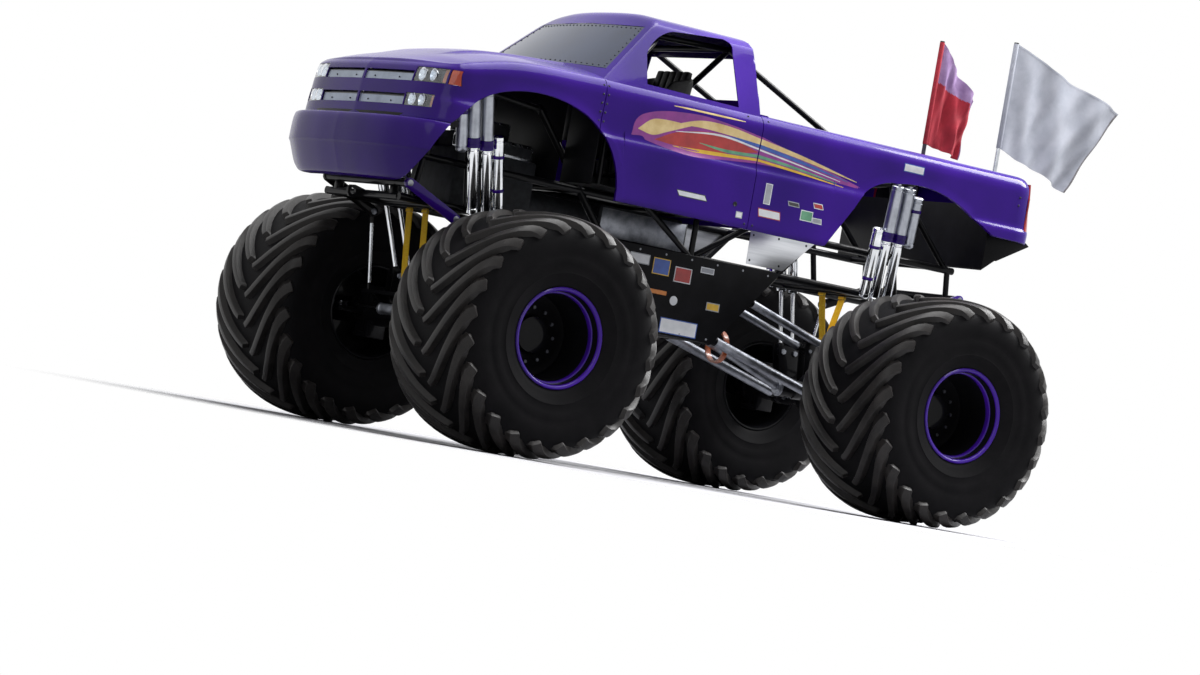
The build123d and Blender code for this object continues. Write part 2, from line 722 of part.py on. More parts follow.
def cab_shell(walls):
    lower = walls & everywhere((cab_rear_x + seam, cowl_x), (1600, belt_z))
    upper = (cab_form(0) - cab_form(shell)) - screen_room(0)
    window = path_face((905, 2722), (888, 2945), ((800, 3060), (640, 3148)), (200, 3186),
                       ((135, 3170), (118, 3110)), (100, 2712))
    upper -= side_prism(window, -1100, 1100)
    rear_window = polygon(*mirrored([(wide - 430, 3090), (wide - 350, 2790)]))
    upper -= front_prism(rear_window, -300, 0)
    room = cab_form(shell)
    whole = (lower - room) + upper
    rear_x = cab_rear_x + seam
    whole += box((rear_x, rear_x + shell), (90 - wide, wide - 90), (floor_z + floor_thickness, belt_z - 4))
    for side in (1, -1):
        whole -= bar((hoop_x, side * 500, roof_z - hoop_drop), brace_foot(side), web_diameter + 12)
    return whole


def windscreen():
    return (cab_form(1) - cab_form(shell - 1)) & screen_room(seat_clearance)


def bed_shell(walls):
    bed = walls & everywhere((-2900, cab_rear_x - seam), (1600, 2900))
    bed -= box((-2715, -190), (160 - wide, wide - 160), (2600, 2900))
    return bed - lamp_corner(0)


def tail_lamps():
    return solids_of((body_form(0) - body_form(shell + 10)) & lamp_corner(seat_clearance))


# Inner panels, seat and controls
def inner_panels():
    # The cab's floor with its firewall, slotted for the frame, and the bent tail panel.
    across = wide - shell - seat_clearance
    floor = box((cab_rear_x + 10, 1240), (-across, across), (floor_z, floor_z + floor_thickness))
    floor += box((1234, 1240), (60 - wide, wide - 60), (floor_z, 2640))
    for side in (1, -1):
        slot = sorted((side * (frame_y - rail_diameter / 2 - 5), side * (frame_y + rail_diameter / 2 + 5)))
        floor -= box((1005, 1300), slot, (floor_z - 20, 2245))
    front, lip = -2352, 2206 - seat_clearance
    bend = polygon((front, 2440), (front, floor_z), (-2484, 2044), (-2770, lip - 6), (-2770, lip),
                   (-2480, 2052), (front - 6, floor_z + 12), (front - 6, 2440))
    return solids_of(floor, side_prism(bend, 100 - wide, wide - 100))


def side_panels(outline):
    near = frame_y + rail_diameter / 2 + seat_clearance
    left = side_prism(outline, near, near + plate_thickness)
    return solids_of(left, other_side(left))


def belly_plates():
    low_x, low_z, high_z = belly_x + 15, belly_z - 25, mid_z + 15
    return side_panels(polygon((-low_x, low_z), (low_x, low_z), (800, high_z), (-800, high_z)))


def alloy_panels():
    low_z, high_z = mid_z + 40, upper_z - 20
    return side_panels(polygon((-475, low_z), (-810, low_z), (-1060, high_z), (-470, high_z)))


def seat():
    foot, at = floor_z + floor_thickness + seat_clearance, 50
    base = box((at + 120, at + 560), (-200, 200), (foot, foot + 130))
    cushion = polygon((at + 90, foot + 130), (at + 590, foot + 130), (at + 600, foot + 250),
                      (at + 210, foot + 210), (at + 40, foot + 1010), (at - 10, foot + 1000))
    bolster = polygon((at + 90, foot + 130), (at + 590, foot + 130), (at + 600, foot + 330),
                      (at + 340, foot + 330), (at + 190, foot + 900), (at + 10, foot + 960))
    whole = base + side_prism(cushion, -250, 250)
    for side in (1, -1):
        whole += side_prism(bolster, side * 230 - 25, side * 230 + 25)
    return whole


def controls():
    wheel_at = Plane(origin=(760, 0, 2560), z_dir=(-0.85, 0, 0.52))
    ring = extrude(wheel_at * RegularPolygon(178, 16), amount=24)
    ring -= extrude(wheel_at.offset(-5) * RegularPolygon(152, 16), amount=40)
    ring += extrude(wheel_at.offset(4) * Rectangle(44, 320), amount=14)
    column = bar((750, 0, 2566), (1160, 0, 2315), 44)
    dash = box((1130, 1234 - seat_clearance), (-760, 760), (2300, 2560))
    return ring + column + dash


def engine_block():
    low = mid_z + web_diameter / 2 + seat_clearance
    return box((1290, 1960), (-290, 290), (low, low + 660))


def driveline():
    # The gearbox behind the engine, the transfer case below it, and a shaft to each axle.
    low = mid_z + web_diameter / 2 + seat_clearance
    case = box((-170, 180), (-190, 190), (belly_z + 90, low)) + box((-170, 1289.7), (-170, 170), (low, 1890))
    pieces = [case]
    for end, face in ((1, 180), (-1, -170)):
        flange_x = end * (axle_x - 420 - seat_clearance)
        start = (face + end * seat_clearance, 0, 1240)
        shaft = bar((start[0] + end * 15, 0, 1240), (flange_x - end * 15, 0, axle_z), 80)
        shaft += bar(start, (start[0] + end * 30, 0, 1240), 150)
        shaft += bar((flange_x, 0, axle_z), (flange_x - end * 30, 0, axle_z), 140)
        pieces.append(shaft)
    return solids_of(*pieces)


def shaft_loops():
    loops = []
    for end in (1, -1):
        at, level = end * 730, 1045
        loop = bar((at - 20, 0, level), (at + 20, 0, level), 250, round_sides)
        loop -= bar((at - 30, 0, level), (at + 30, 0, level), 214, round_sides)
        stem_top = mid_z - web_diameter / 2 - seat_clearance
        loops.append(loop + box((at - 18, at + 18), (-16, 16), (level + 110, stem_top)))
    return solids_of(*loops)


# Flags
def pole_foot():
    slope = (2206 - 2052) / 290
    return 2052 + (-2480 - (pole_x - pole_diameter / 2)) * slope + seat_clearance


def flag_poles():
    return [bar((pole_x, side * pole_y, pole_foot()), (pole_x, side * pole_y, pole_top_z), pole_diameter)
            for side in (1, -1)]


def flag(side, outline):
    # A cloth in soft waves, cut to its hanging outline, held close behind its pole.
    near = pole_x - pole_diameter / 2 - seat_clearance
    count, swell = 8, 55
    far = min(x for x, z in outline)
    wave = []
    for k in range(count + 1):
        billow = swell * sin(k * 1.9) * min(1, k / 2)
        wave.append((near + (far - near) * k / count, side * pole_y + billow))
    sheet = polygon(*wave, *[(x, y + cloth) for x, y in reversed(wave)])
    return plan_prism(sheet, 2600, 3800) & side_prism(polygon(*outline), -1100, 1100)


def flag_outline(tip, low_tip):
    near = pole_x - pole_diameter / 2 - seat_clearance
    return [(near, pole_top_z - 6), (near, 2920), low_tip, tip]


walls = body_form(0) - body_form(shell) - front_arch() - rear_arch()
walls -= everywhere((-2900, 2900), (1100, rocker_z))

for end, end_name in ((1, "front"), (-1, "rear")):
    for side, side_name in ((1, "left"), (-1, "right")):
        corner = end_name + "_" + side_name
        hub = Pos(end * axle_x, side * track / 2, axle_z)
        save("tyre_" + corner, hub * tyre())
        save("rim_" + corner, hub * rim(side))
        save("knuckle_" + corner, knuckle(end, side))
    save("steering_rod_" + end_name, steering_rod(end))
    save("axle_" + end_name, axle(end))

side_frame = frame_side()
save("frame_side_left", side_frame)
save("frame_side_right", other_side(side_frame))
save("frame_crossmembers", *frame_crossmembers())
save("roll_cage", roll_cage())
save("belly_plates", *belly_plates())
save("alloy_panels", *alloy_panels())
save("link_bars", *link_bars())
save("limit_straps", *limit_straps())
bars, arms = antiroll_bars()
save("antiroll_bars", *bars)
save("antiroll_arms", *arms)
sleeves, tubes, rings = shocks()
save("shock_sleeves", *sleeves)
save("shock_tubes", *tubes)
save("shock_rings", *rings)
save("front_clip", front_clip(walls))
save("front_bumper", front_bumper())
save("grille", *nose_insert(grille_rows, 12))
save("headlamps", *nose_insert(lamp_rows, 40))
save("marker_lamps", *nose_insert(marker_rows, 30))
save("cab_shell", cab_shell(walls))
save("windscreen", windscreen())
save("bed_shell", bed_shell(walls))
save("tail_lamps", *tail_lamps())
save("inner_panels", *inner_panels())
save("seat", seat())
save("controls", controls())
save("engine_block", engine_block())
save("driveline", *driveline())
save("shaft_loops", *shaft_loops())
save("flag_poles", *flag_poles())
save("flag_left", flag(1, flag_outline((flag_tip_x, 3406), (-3406, 2704))))
save("flag_right", flag(-1, flag_outline((-3100, 3345), (-3040, 2860))))
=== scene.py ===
# Monster truck: violet moulded pickup body over a black tube frame, on four lugged tyres.
# The truck's own numbers are millimetres from the middle of its wheelbase: +x to the nose,
# +y to the left, +z up from the floor. place() turns them into the frame's metres.
import json
from math import atan2, copysign, cos, hypot, pi, radians, sin, sqrt
import bpy
import bmesh
import numpy as np
from mathutils import Matrix, Vector


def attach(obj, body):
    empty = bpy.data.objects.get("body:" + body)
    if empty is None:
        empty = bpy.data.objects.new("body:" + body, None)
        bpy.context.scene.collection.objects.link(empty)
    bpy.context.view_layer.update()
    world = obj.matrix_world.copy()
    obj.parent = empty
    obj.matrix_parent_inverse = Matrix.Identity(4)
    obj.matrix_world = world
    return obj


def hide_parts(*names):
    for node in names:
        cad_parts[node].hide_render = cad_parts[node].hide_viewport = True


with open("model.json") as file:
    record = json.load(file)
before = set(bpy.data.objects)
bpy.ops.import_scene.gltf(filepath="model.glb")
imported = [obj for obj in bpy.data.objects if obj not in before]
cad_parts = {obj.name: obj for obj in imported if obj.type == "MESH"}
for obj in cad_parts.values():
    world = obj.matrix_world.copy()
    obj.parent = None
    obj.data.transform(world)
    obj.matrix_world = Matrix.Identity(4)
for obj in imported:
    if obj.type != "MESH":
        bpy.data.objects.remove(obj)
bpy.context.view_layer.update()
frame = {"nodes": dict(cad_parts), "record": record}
shiftX = 512.5  # the origin lies this far behind the middle of the wheelbase
full = 2 * pi


def place(point):
    return Vector(((point[0] + shiftX) / 1000, point[1] / 1000, point[2] / 1000))


# Materials
def toLinear(hexColour):
    parts = [int(hexColour[k:k + 2], 16) / 255 for k in (1, 3, 5)]
    return tuple(p / 12.92 if p <= 0.04045 else ((p + 0.055) / 1.055) ** 2.4 for p in parts) + (1.0,)


def addNode(tree, kind, settings=None, links=None):
    node = tree.nodes.new(kind)
    for name, value in (settings or {}).items():
        if isinstance(name, str) and hasattr(node, name):
            setattr(node, name, value)
        else:
            node.inputs[name].default_value = value
    for name, source in (links or {}).items():
        tree.links.new(source, node.inputs[name])
    return node


def newMaterial(name):
    material = bpy.data.materials.new(name)
    material.use_nodes = True
    tree = material.node_tree
    shader = next(n for n in tree.nodes if n.type == "BSDF_PRINCIPLED")
    where = addNode(tree, "ShaderNodeTexCoord").outputs["Object"]
    return material, tree, shader, where


def grainSocket(tree, where, millimetres, detail=3.0, stretch=(1, 1, 1)):
    mapped = addNode(tree, "ShaderNodeMapping", {"Scale": stretch}, {"Vector": where}).outputs[0]
    noise = addNode(tree, "ShaderNodeTexNoise",
                    {"Scale": 1000 / millimetres, "Detail": detail, "Roughness": 0.6}, {"Vector": mapped})
    return noise.outputs["Fac"]


def rampSocket(tree, factor, low, high, lowColour, highColour):
    ramp = addNode(tree, "ShaderNodeValToRGB", {}, {"Fac": factor})
    ramp.color_ramp.elements[0].position, ramp.color_ramp.elements[1].position = low, high
    ramp.color_ramp.elements[0].color = toLinear(lowColour)
    ramp.color_ramp.elements[1].color = toLinear(highColour)
    return ramp.outputs["Color"]


def bumpInto(tree, shader, height, strength, millimetres):
    bump = addNode(tree, "ShaderNodeBump", {"Strength": strength, "Distance": millimetres / 1000},
                   {"Height": height})
    tree.links.new(bump.outputs[0], shader.inputs["Normal"])


def roughInto(tree, shader, factor, low, high):
    spread = addNode(tree, "ShaderNodeMapRange", {"To Min": low, "To Max": high}, {"Value": factor})
    tree.links.new(spread.outputs[0], shader.inputs["Roughness"])


def surface(name, colours, rough, metallic=0.0, grain=60.0, bump=0.0, bumpGrain=1.5, ior=1.5,
            coat=0.0, stretch=(1, 1, 1), spread=(0.3, 0.7), gloss=0.5):
    # Nothing is flat: colour drifts over the grain, and roughness with it.
    material, tree, shader, where = newMaterial(name)
    drift = grainSocket(tree, where, grain, 4.0, stretch)
    colour = rampSocket(tree, drift, spread[0], spread[1], *colours)
    tree.links.new(colour, shader.inputs["Base Color"])
    roughInto(tree, shader, drift, *rough)
    shader.inputs["Metallic"].default_value = metallic
    if not metallic:
        shader.inputs["IOR"].default_value = ior
        shader.inputs["Specular IOR Level"].default_value = gloss
    shader.inputs["Coat Weight"].default_value = coat
    shader.inputs["Coat Roughness"].default_value = 0.04
    if bump:
        bumpInto(tree, shader, grainSocket(tree, where, bumpGrain, 2.0, stretch), bump, bumpGrain * 0.5)
    return material


def paint(name, lowColour, highColour, coat, flakeSize, rough=(0.2, 0.3)):
    # Gel coat and gloss paint: deep colour under clear lacquer, faint orange peel.
    material, tree, shader, where = newMaterial(name)
    drift = grainSocket(tree, where, 900, 2.0)
    flake = grainSocket(tree, where, flakeSize, 1.0)
    mixed = addNode(tree, "ShaderNodeMath", {"operation": "MULTIPLY_ADD", 1: 0.25}, {0: flake, 2: drift})
    colour = rampSocket(tree, mixed.outputs[0], 0.4, 0.85, lowColour, highColour)
    tree.links.new(colour, shader.inputs["Base Color"])
    roughInto(tree, shader, drift, *rough)
    shader.inputs["Specular IOR Level"].default_value = 0.05
    shader.inputs["Coat Weight"].default_value = coat
    shader.inputs["Coat IOR"].default_value = 1.3
    shader.inputs["Coat Roughness"].default_value = 0.03
    bumpInto(tree, shader, grainSocket(tree, where, 9, 1.0), 0.03, 0.4)
    return material


def tyreMaterial(name, lowColour, highColour, rough, gloss):
    # Moulded rubber: black in the hollows. On the lugs it is lighter, partly from dust and wear and partly
    # as a painted sunlit highlight.
    material, tree, shader, where = newMaterial(name)
    dust = grainSocket(tree, where, 160, 5.0)
    fine = grainSocket(tree, where, 6, 3.0)
    mixed = addNode(tree, "ShaderNodeMath", {"operation": "MULTIPLY_ADD", 1: 0.35}, {0: fine, 2: dust})
    colour = rampSocket(tree, mixed.outputs[0], 0.45, 0.95, lowColour, highColour)
    tree.links.new(colour, shader.inputs["Base Color"])
    roughInto(tree, shader, dust, *rough)
    shader.inputs["IOR"].default_value = 1.52
    shader.inputs["Specular IOR Level"].default_value = gloss
    bumpInto(tree, shader, fine, 0.25, 3)
    return material


violet = {"body": ("#26076C", "#3F1294"), "metal": ("#31107F", "#4A1DA6")}
gelCoat = paint("violet gel coat", *violet["body"], 0.45, 3.0)
violetGloss = paint("violet gloss enamel", *violet["metal"], 0.8, 3.0)
blackGloss = paint("black powder coat", "#0B0B0D", "#17171A", 0.35, 12.0, (0.3, 0.42))
rubber = tyreMaterial("moulded tyre rubber", "#09090B", "#161517", (0.5, 0.7), 0.05)
# Lug rubber is lighter than the carcass: partly dust and wear, partly a painted sunlit highlight.
lugRubberDustAndPaintedSheen = tyreMaterial("worn dusty lug rubber with painted sheen", "#151415", "#312E2D", (0.3, 0.48), 0.2)
chrome = surface("polished chrome", ("#D5D8DE", "#F2F4F7"), (0.05, 0.13), 1.0, 120)
sleeveGrey = surface("satin anodised aluminium", ("#8F939C", "#B3B7C0"), (0.28, 0.4), 1.0, 90, 0.05, 3)
sheetAlloy = surface("brushed aluminium sheet", ("#B9BCC2", "#DDDFE4"), (0.25, 0.42), 1.0, 40, 0.12, 1.6,
                     stretch=(0.05, 1, 1))
steel = surface("turned steel", ("#6D7078", "#9B9EA6"), (0.3, 0.45), 1.0, 70, 0.06, 4)
castIron = surface("painted cast iron", ("#232427", "#3A3C40"), (0.5, 0.7), 0.0, 50, 0.3, 4, gloss=0.2)
orangePaint = surface("orange-brown enamel", ("#8A3E16", "#B85A22"), (0.3, 0.45), 0.0, 80, 0.03, 8, coat=0.4)
leather = surface("black grained leather", ("#0E0E10", "#1D1D20"), (0.4, 0.55), 0.0, 30, 0.35, 2.5,
                  gloss=0.2)
moulding = surface("black moulded plastic", ("#121214", "#202023"), (0.45, 0.6), 0.0, 60, 0.2, 2.0,
                   gloss=0.2)
screenTint = surface("tinted polycarbonate", ("#1E2940", "#2E3B56"), (0.12, 0.2), 0.0, 700, coat=0.3,
                     ior=1.58, gloss=0.15)
lensRed = surface("red moulded lens", ("#7E0C10", "#A8191B"), (0.12, 0.2), 0.0, 60, coat=0.4, gloss=0.25)
lensOrange = surface("orange moulded lens", ("#B8360C", "#DA5018"), (0.12, 0.2), 0.0, 60, coat=0.4,
                     gloss=0.25)
lampClear = surface("clear lamp lens", ("#AEB8C4", "#E2E8EF"), (0.05, 0.12), 0.6, 35, coat=1.0)
webbing = surface("yellow woven webbing", ("#F2B600", "#FFD834"), (0.65, 0.85), 0.0, 25, 0.5, 3,
                  stretch=(1, 1, 4))
clothWhite = surface("white flag cloth", ("#9FA3AF", "#B6B9C4"), (0.75, 0.9), 0.0, 140, 0.2, 3)
clothRed = surface("red flag cloth", ("#861525", "#AC2738"), (0.75, 0.9), 0.0, 140, 0.2, 3)
clothMauve = surface("faded mauve flag cloth", ("#7C5C8C", "#A288B2"), (0.75, 0.9), 0.0, 140, 0.2, 3)
clothGrey = surface("soiled grey flag cloth", ("#5A5654", "#86838A"), (0.75, 0.9), 0.0, 60, 0.2, 3)
poleDark = surface("dark anodised tube", ("#2C2A33", "#494651"), (0.3, 0.45), 0.8, 60)
lampGlass = surface("lamp lens polycarbonate", ("#DDE4EC", "#F4F7FA"), (0.02, 0.06), 0.0, 60, ior=1.58)
lampGlass.node_tree.nodes["Principled BSDF"].inputs["Transmission Weight"].default_value = 1.0
clearBulb = surface("bulb glass", ("#E8EEF6", "#FFFFFF"), (0.05, 0.1), 0.0, 20, coat=1.0)
darkSteel = surface("darkened steel", ("#3A3B40", "#5A5C63"), (0.35, 0.5), 1.0, 30)
blackSatin = surface("satin black sheet", ("#09090B", "#161619"), (0.35, 0.5), 0.0, 200, 0.05, 6, gloss=0.08)
filmColours = {
    "white": ("#C9CCD2", "#E6E8EC"), "blue": ("#1C3C8E", "#3560B4"), "yellow": ("#C79A1A", "#E4BC3A"),
    "red": ("#8E1A1C", "#B42C2A"), "grey": ("#8A8E96", "#A9ADB5"), "orange": ("#B3641C", "#D6822E"),
    "magenta": ("#6E1A78", "#94308E"), "cream": ("#C9A86A", "#E8D29A"), "green": ("#3E7A5C", "#6AA884"),
    "dark": ("#121216", "#22222A")}
filmFinish = {name: surface(name + " vinyl film", colours, (0.3, 0.42), 0.0, 120, coat=0.3)
              for name, colours in filmColours.items()}
poleBright = surface("bright drawn aluminium", ("#AEB2B8", "#D8DBE0"), (0.2, 0.32), 1.0, 60)

cadFinish = {
    "violet_body": gelCoat, "violet_metal": violetGloss, "black_metal": blackGloss, "tyre": rubber,
    "chrome": chrome, "grey_alloy": sleeveGrey, "alloy": sheetAlloy, "grey_metal": steel, "steel": steel,
    "engine_metal": castIron, "orange_metal": orangePaint, "black_leather": leather,
    "black_plastic": moulding, "tinted_screen": screenTint, "red_lens": lensRed,
    "orange_lens": lensOrange, "lamp_glass": lampClear, "yellow_webbing": webbing,
    "white_cloth": clothWhite, "red_cloth": clothRed, "pole_metal": poleBright,
}
slotOf = {part["node"]: part["material_slot"] for part in frame["record"]["subparts"]}
bodyOf = {node: bodyName for bodyName, nodes in frame["record"]["behaviour"]["bodies"].items()
          for node in nodes}
for nodeName, nodeObject in frame["nodes"].items():
    nodeObject.data.materials.clear()
    nodeObject.data.materials.append(cadFinish[slotOf[nodeName]])
print("materials ready")


# Mesh helpers
def asObject(bm, name):
    # A bmesh becomes an object of the scene.
    mesh = bpy.data.meshes.new(name)
    bm.to_mesh(mesh)
    bm.free()
    made = bpy.data.objects.new(name, mesh)
    bpy.context.scene.collection.objects.link(made)
    return made


def joinInto(bm, other):
    mesh = bpy.data.meshes.new("part")
    other.to_mesh(mesh)
    other.free()
    bm.from_mesh(mesh)
    bpy.data.meshes.remove(mesh)


def finishPiece(name, bm, materials, replaced, body=None, smoothAngle=35):
    # Normals, shading and materials, then the body it rides and the node it stands for.
    bmesh.ops.recalc_face_normals(bm, faces=bm.faces)
    for edge in bm.edges:
        edge.smooth = len(edge.link_faces) == 2 and edge.calc_face_angle(0) < radians(smoothAngle)
    for face in bm.faces:
        face.smooth = True
    piece = asObject(bm, name)
    for material in materials:
        piece.data.materials.append(material)
    replaced = [replaced] if replaced else []
    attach(piece, body or bodyOf[replaced[0]])
    if replaced:
        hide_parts(*replaced)
    return piece


def facesOf(verts):
    return list({face for vert in verts for face in vert.link_faces})


def placed(bm, verts, spot):
    # Moves new vertices by a matrix, and gives their faces back.
    bmesh.ops.transform(bm, matrix=spot, verts=verts)
    return facesOf(verts)


def standing(start, end):
    # The matrix that stands a shape drawn along z between two places in metres.
    way = end - start
    turn = way.to_track_quat("Z", "Y").to_matrix().to_4x4()
    return Matrix.Translation((start + end) / 2) @ turn, way.length


def addTube(bm, start, end, diameter, sides=20, endDiameter=None, slot=0, bevel=0.0):
    start, end = place(start), place(end)
    spot, length = standing(start, end)
    made = bmesh.ops.create_cone(bm, cap_ends=True, segments=sides, radius1=diameter / 2000,
                                 radius2=(endDiameter or diameter) / 2000, depth=length)["verts"]
    faces = placed(bm, made, spot)
    if bevel:
        rims = {edge for face in faces if len(face.verts) > 4 for edge in face.edges}
        bevelled = bmesh.ops.bevel(bm, geom=list(rims), offset=bevel / 1000, segments=2, profile=0.5,
                                   affect="EDGES", material=-1)
        faces = set(facesOf(bevelled["verts"])) | {face for face in faces if face.is_valid}
    for face in faces:
        face.material_index = slot


def addAcross(bm, at, reach, diameter, sides=20, **rest):
    # A tube that runs across the truck, both ways from a place.
    x, y, z = at
    addTube(bm, (x, y - reach, z), (x, y + reach, z), diameter, sides, **rest)


def softened(bm, faces, bevel, slot=0):
    if bevel:
        edges = list({edge for face in faces for edge in face.edges})
        made = bmesh.ops.bevel(bm, geom=edges, offset=bevel / 1000, segments=2, profile=0.5,
                               affect="EDGES", clamp_overlap=True, material=-1)
        faces = [face for face in faces if face.is_valid] + made["faces"]
    for face in faces:
        face.material_index = slot


def addBlock(bm, low, high, bevel=0.0, slot=0):
    # A block between two opposite corners, in either order.
    low, high = place(low), place(high)
    made = bmesh.ops.create_cube(bm, size=1)["verts"]
    size = Matrix.Diagonal((*(abs(b - a) for a, b in zip(low, high)), 1))
    softened(bm, placed(bm, made, Matrix.Translation((low + high) / 2) @ size), bevel, slot)


def addPlate(bm, outline, low, high, bevel=0.0, slot=0, axis="y"):
    # A flat plate: an outline in x and z drawn through y, or in y and z drawn through x.
    corners = [place((a, low, b) if axis == "y" else (low, a, b)) for a, b in outline]
    depth = (high - low) / 1000
    through = Vector((0, depth, 0) if axis == "y" else (depth, 0, 0))
    verts = [bmesh.ops.create_vert(bm, co=corner)["vert"][0] for corner in corners]
    base = bmesh.ops.contextual_create(bm, geom=verts)["faces"]
    pulled = bmesh.ops.extrude_face_region(bm, geom=base, use_keep_orig=True)["geom"]
    tops = [g for g in pulled if isinstance(g, bmesh.types.BMVert)]
    bmesh.ops.translate(bm, vec=through, verts=tops)
    softened(bm, facesOf(verts + tops), bevel, slot)


def addPlateAt(bm, outline, middle, thick, bevel=0.0):
    addPlate(bm, outline, middle - thick / 2, middle + thick / 2, bevel)


def sheetOf(bm, columns, rows, point, wrap=False, slot=0):
    # A grid whose vertices take their places from point(u, v), both from 0 to 1.
    made = bmesh.ops.create_grid(bm, x_segments=columns, y_segments=rows, size=0.5)["verts"]
    for vert in made:
        vert.co = place(point(vert.co.x + 0.5, vert.co.y + 0.5))
    for face in facesOf(made):
        face.material_index = slot
    if wrap:
        bmesh.ops.remove_doubles(bm, verts=made, dist=1e-6)
    return [vert for vert in made if vert.is_valid]


def addTurned(bm, profile, start, way, steps=32, slot=0, closed=False):
    # Spins a profile of (distance along, radius) round a line, all in millimetres.
    spot, turn = place(start), Vector(way).normalized()
    across = turn.orthogonal().normalized()
    verts = [bmesh.ops.create_vert(bm, co=spot + (turn * along + across * radius) / 1000)["vert"][0]
             for along, radius in profile]
    pairs = list(zip(verts, verts[1:])) + ([(verts[-1], verts[0])] if closed else [])
    edges = [bmesh.ops.contextual_create(bm, geom=list(pair))["edges"][0] for pair in pairs]
    bmesh.ops.spin(bm, geom=verts + edges, cent=spot, axis=turn, angle=full, steps=steps, use_merge=True)
    faces = {face for edge in edges for face in edge.link_faces}
    grown = set(faces)
    while faces:
        faces = {other for face in faces for edge in face.edges for other in edge.link_faces} - grown
        grown |= faces
    bmesh.ops.remove_doubles(bm, verts=list({v for f in grown for v in f.verts}), dist=1e-6)
    for face in grown:
        if face.is_valid:
            face.material_index = slot


def addBolt(bm, at, axis, size, height, slot=0):
    # A hexagon head: axis is x, y or z with its sign.
    start = Vector(at)
    addTube(bm, start, start + Vector(axis) * height, size, 6, size * 0.86, slot)


def addBoltRing(bm, middle, way, radius, count, size, height, slot):
    # Bolts spaced evenly round a line along x or y.
    level, up = Vector((0, 1, 0) if way[0] else (1, 0, 0)), Vector((0, 0, 1))
    for k in range(count):
        a = full * k / count
        spot = middle + (level * cos(a) + up * sin(a)) * radius
        addBolt(bm, spot, way, size, height, slot)


def read(table, x, column=1):
    # A smooth reading between a table's rows, whose first column runs upwards.
    if x <= table[0][0]:
        return table[0][column]
    if x >= table[-1][0]:
        return table[-1][column]
    k = max(i for i in range(len(table) - 1) if table[i][0] <= x)
    (x0, y0), (x1, y1) = ((table[i][0], table[i][column]) for i in (k, k + 1))
    slopes = []
    for i in (k, k + 1):
        a, b = max(i - 1, 0), min(i + 1, len(table) - 1)
        slopes.append((table[b][column] - table[a][column]) / (table[b][0] - table[a][0]))
    t, span = (x - x0) / (x1 - x0), x1 - x0
    return ((2 * t ** 3 - 3 * t ** 2 + 1) * y0 + (t ** 3 - 2 * t ** 2 + t) * span * slopes[0]
            + (3 * t ** 2 - 2 * t ** 3) * y1 + (t ** 3 - t ** 2) * span * slopes[1])


def readAll(table, x):
    return [read(table, x, column) for column in range(1, len(table[0]))]


def straight(table, x):
    # A straight reading between a table's rows.
    if x <= table[0][0]:
        return table[0][1]
    for (x0, y0), (x1, y1) in zip(table, table[1:]):
        if x <= x1:
            return y0 + (y1 - y0) * (x - x0) / max(x1 - x0, 1e-9)
    return table[-1][1]


def halved(isLow, rounds):
    # Narrows 0 to 1 by halves to the share at which isLow turns false.
    low, high = 0.0, 1.0
    for _ in range(rounds):
        middle = (low + high) / 2
        low, high = (middle, high) if isLow(middle) else (low, middle)
    return low


# Stage: a pale floor, a soft overhead light and two wide fills, and the photo's own lens.
# Columns of the lamps: place, aim, width, power.
stageLook = {"floor": "#C4C4C8", "floorHalf": 120, "fade": (3.2, 5.0), "sky": "#FFFFFF", "skyLight": 0.2,
             "lamps": [((-1.0, 1.0, 10.0), (0.2, 0, 1.8), 11.0, 1500),
                       ((-11.0, 2.5, 10.5), (0, 0, 1.4), 7.0, 2700),
                       ((11.0, 6.0, 7.0), (1.5, 0, 1.8), 7.0, 160)]}
# The lens is in pixels of the photo's width.
cameraLook = {"azimuth": 33.95, "elevation": -1.45, "distance": 28.5, "roll": 10.0, "lens": 3900,
              "photoWidth": 1200, "sensor": 36, "right": -0.30, "up": -0.20, "aim": (512.5, 0, 1200)}


def addFloor():
    # The floor fades out round the truck, into the white.
    bm = bmesh.new()
    bmesh.ops.create_grid(bm, x_segments=1, y_segments=1, size=stageLook["floorHalf"])
    floor = asObject(bm, "studioFloor")
    material, tree, shader, where = newMaterial("painted studio floor")
    shader.inputs["Base Color"].default_value = toLinear(stageLook["floor"])
    shader.inputs["Roughness"].default_value = 0.9
    shader.inputs["Specular IOR Level"].default_value = 0.1
    middle = addNode(tree, "ShaderNodeVectorMath", {"operation": "LENGTH"}, {0: where}).outputs["Value"]
    near, far = stageLook["fade"]
    fade = addNode(tree, "ShaderNodeMapRange", {"interpolation_type": "SMOOTHSTEP", "From Min": near,
                                                "From Max": far}, {"Value": middle})
    clear = addNode(tree, "ShaderNodeBsdfTransparent")
    mixed = addNode(tree, "ShaderNodeMixShader", {},
                    {0: fade.outputs[0], 1: shader.outputs[0], 2: clear.outputs[0]})
    out = next(n for n in tree.nodes if n.type == "OUTPUT_MATERIAL")
    tree.links.new(mixed.outputs[0], out.inputs["Surface"])
    floor.data.materials.append(material)


def addWorld():
    # White where the camera, glass and glossy finishes see it; its own light is dim.
    world = bpy.data.worlds.new("studio")
    bpy.context.scene.world = world
    world.use_nodes = True
    tree = world.node_tree
    back = next(n for n in tree.nodes if n.type == "BACKGROUND")
    paths = addNode(tree, "ShaderNodeLightPath").outputs
    seen = paths["Is Camera Ray"]
    for ray in ("Is Transmission Ray", "Is Glossy Ray"):
        seen = addNode(tree, "ShaderNodeMath", {"operation": "MAXIMUM"}, {0: seen, 1: paths[ray]}).outputs[0]
    level = addNode(tree, "ShaderNodeMapRange", {"To Min": stageLook["skyLight"], "To Max": 1.0},
                    {"Value": seen})
    back.inputs["Color"].default_value = toLinear(stageLook["sky"])
    tree.links.new(level.outputs[0], back.inputs["Strength"])


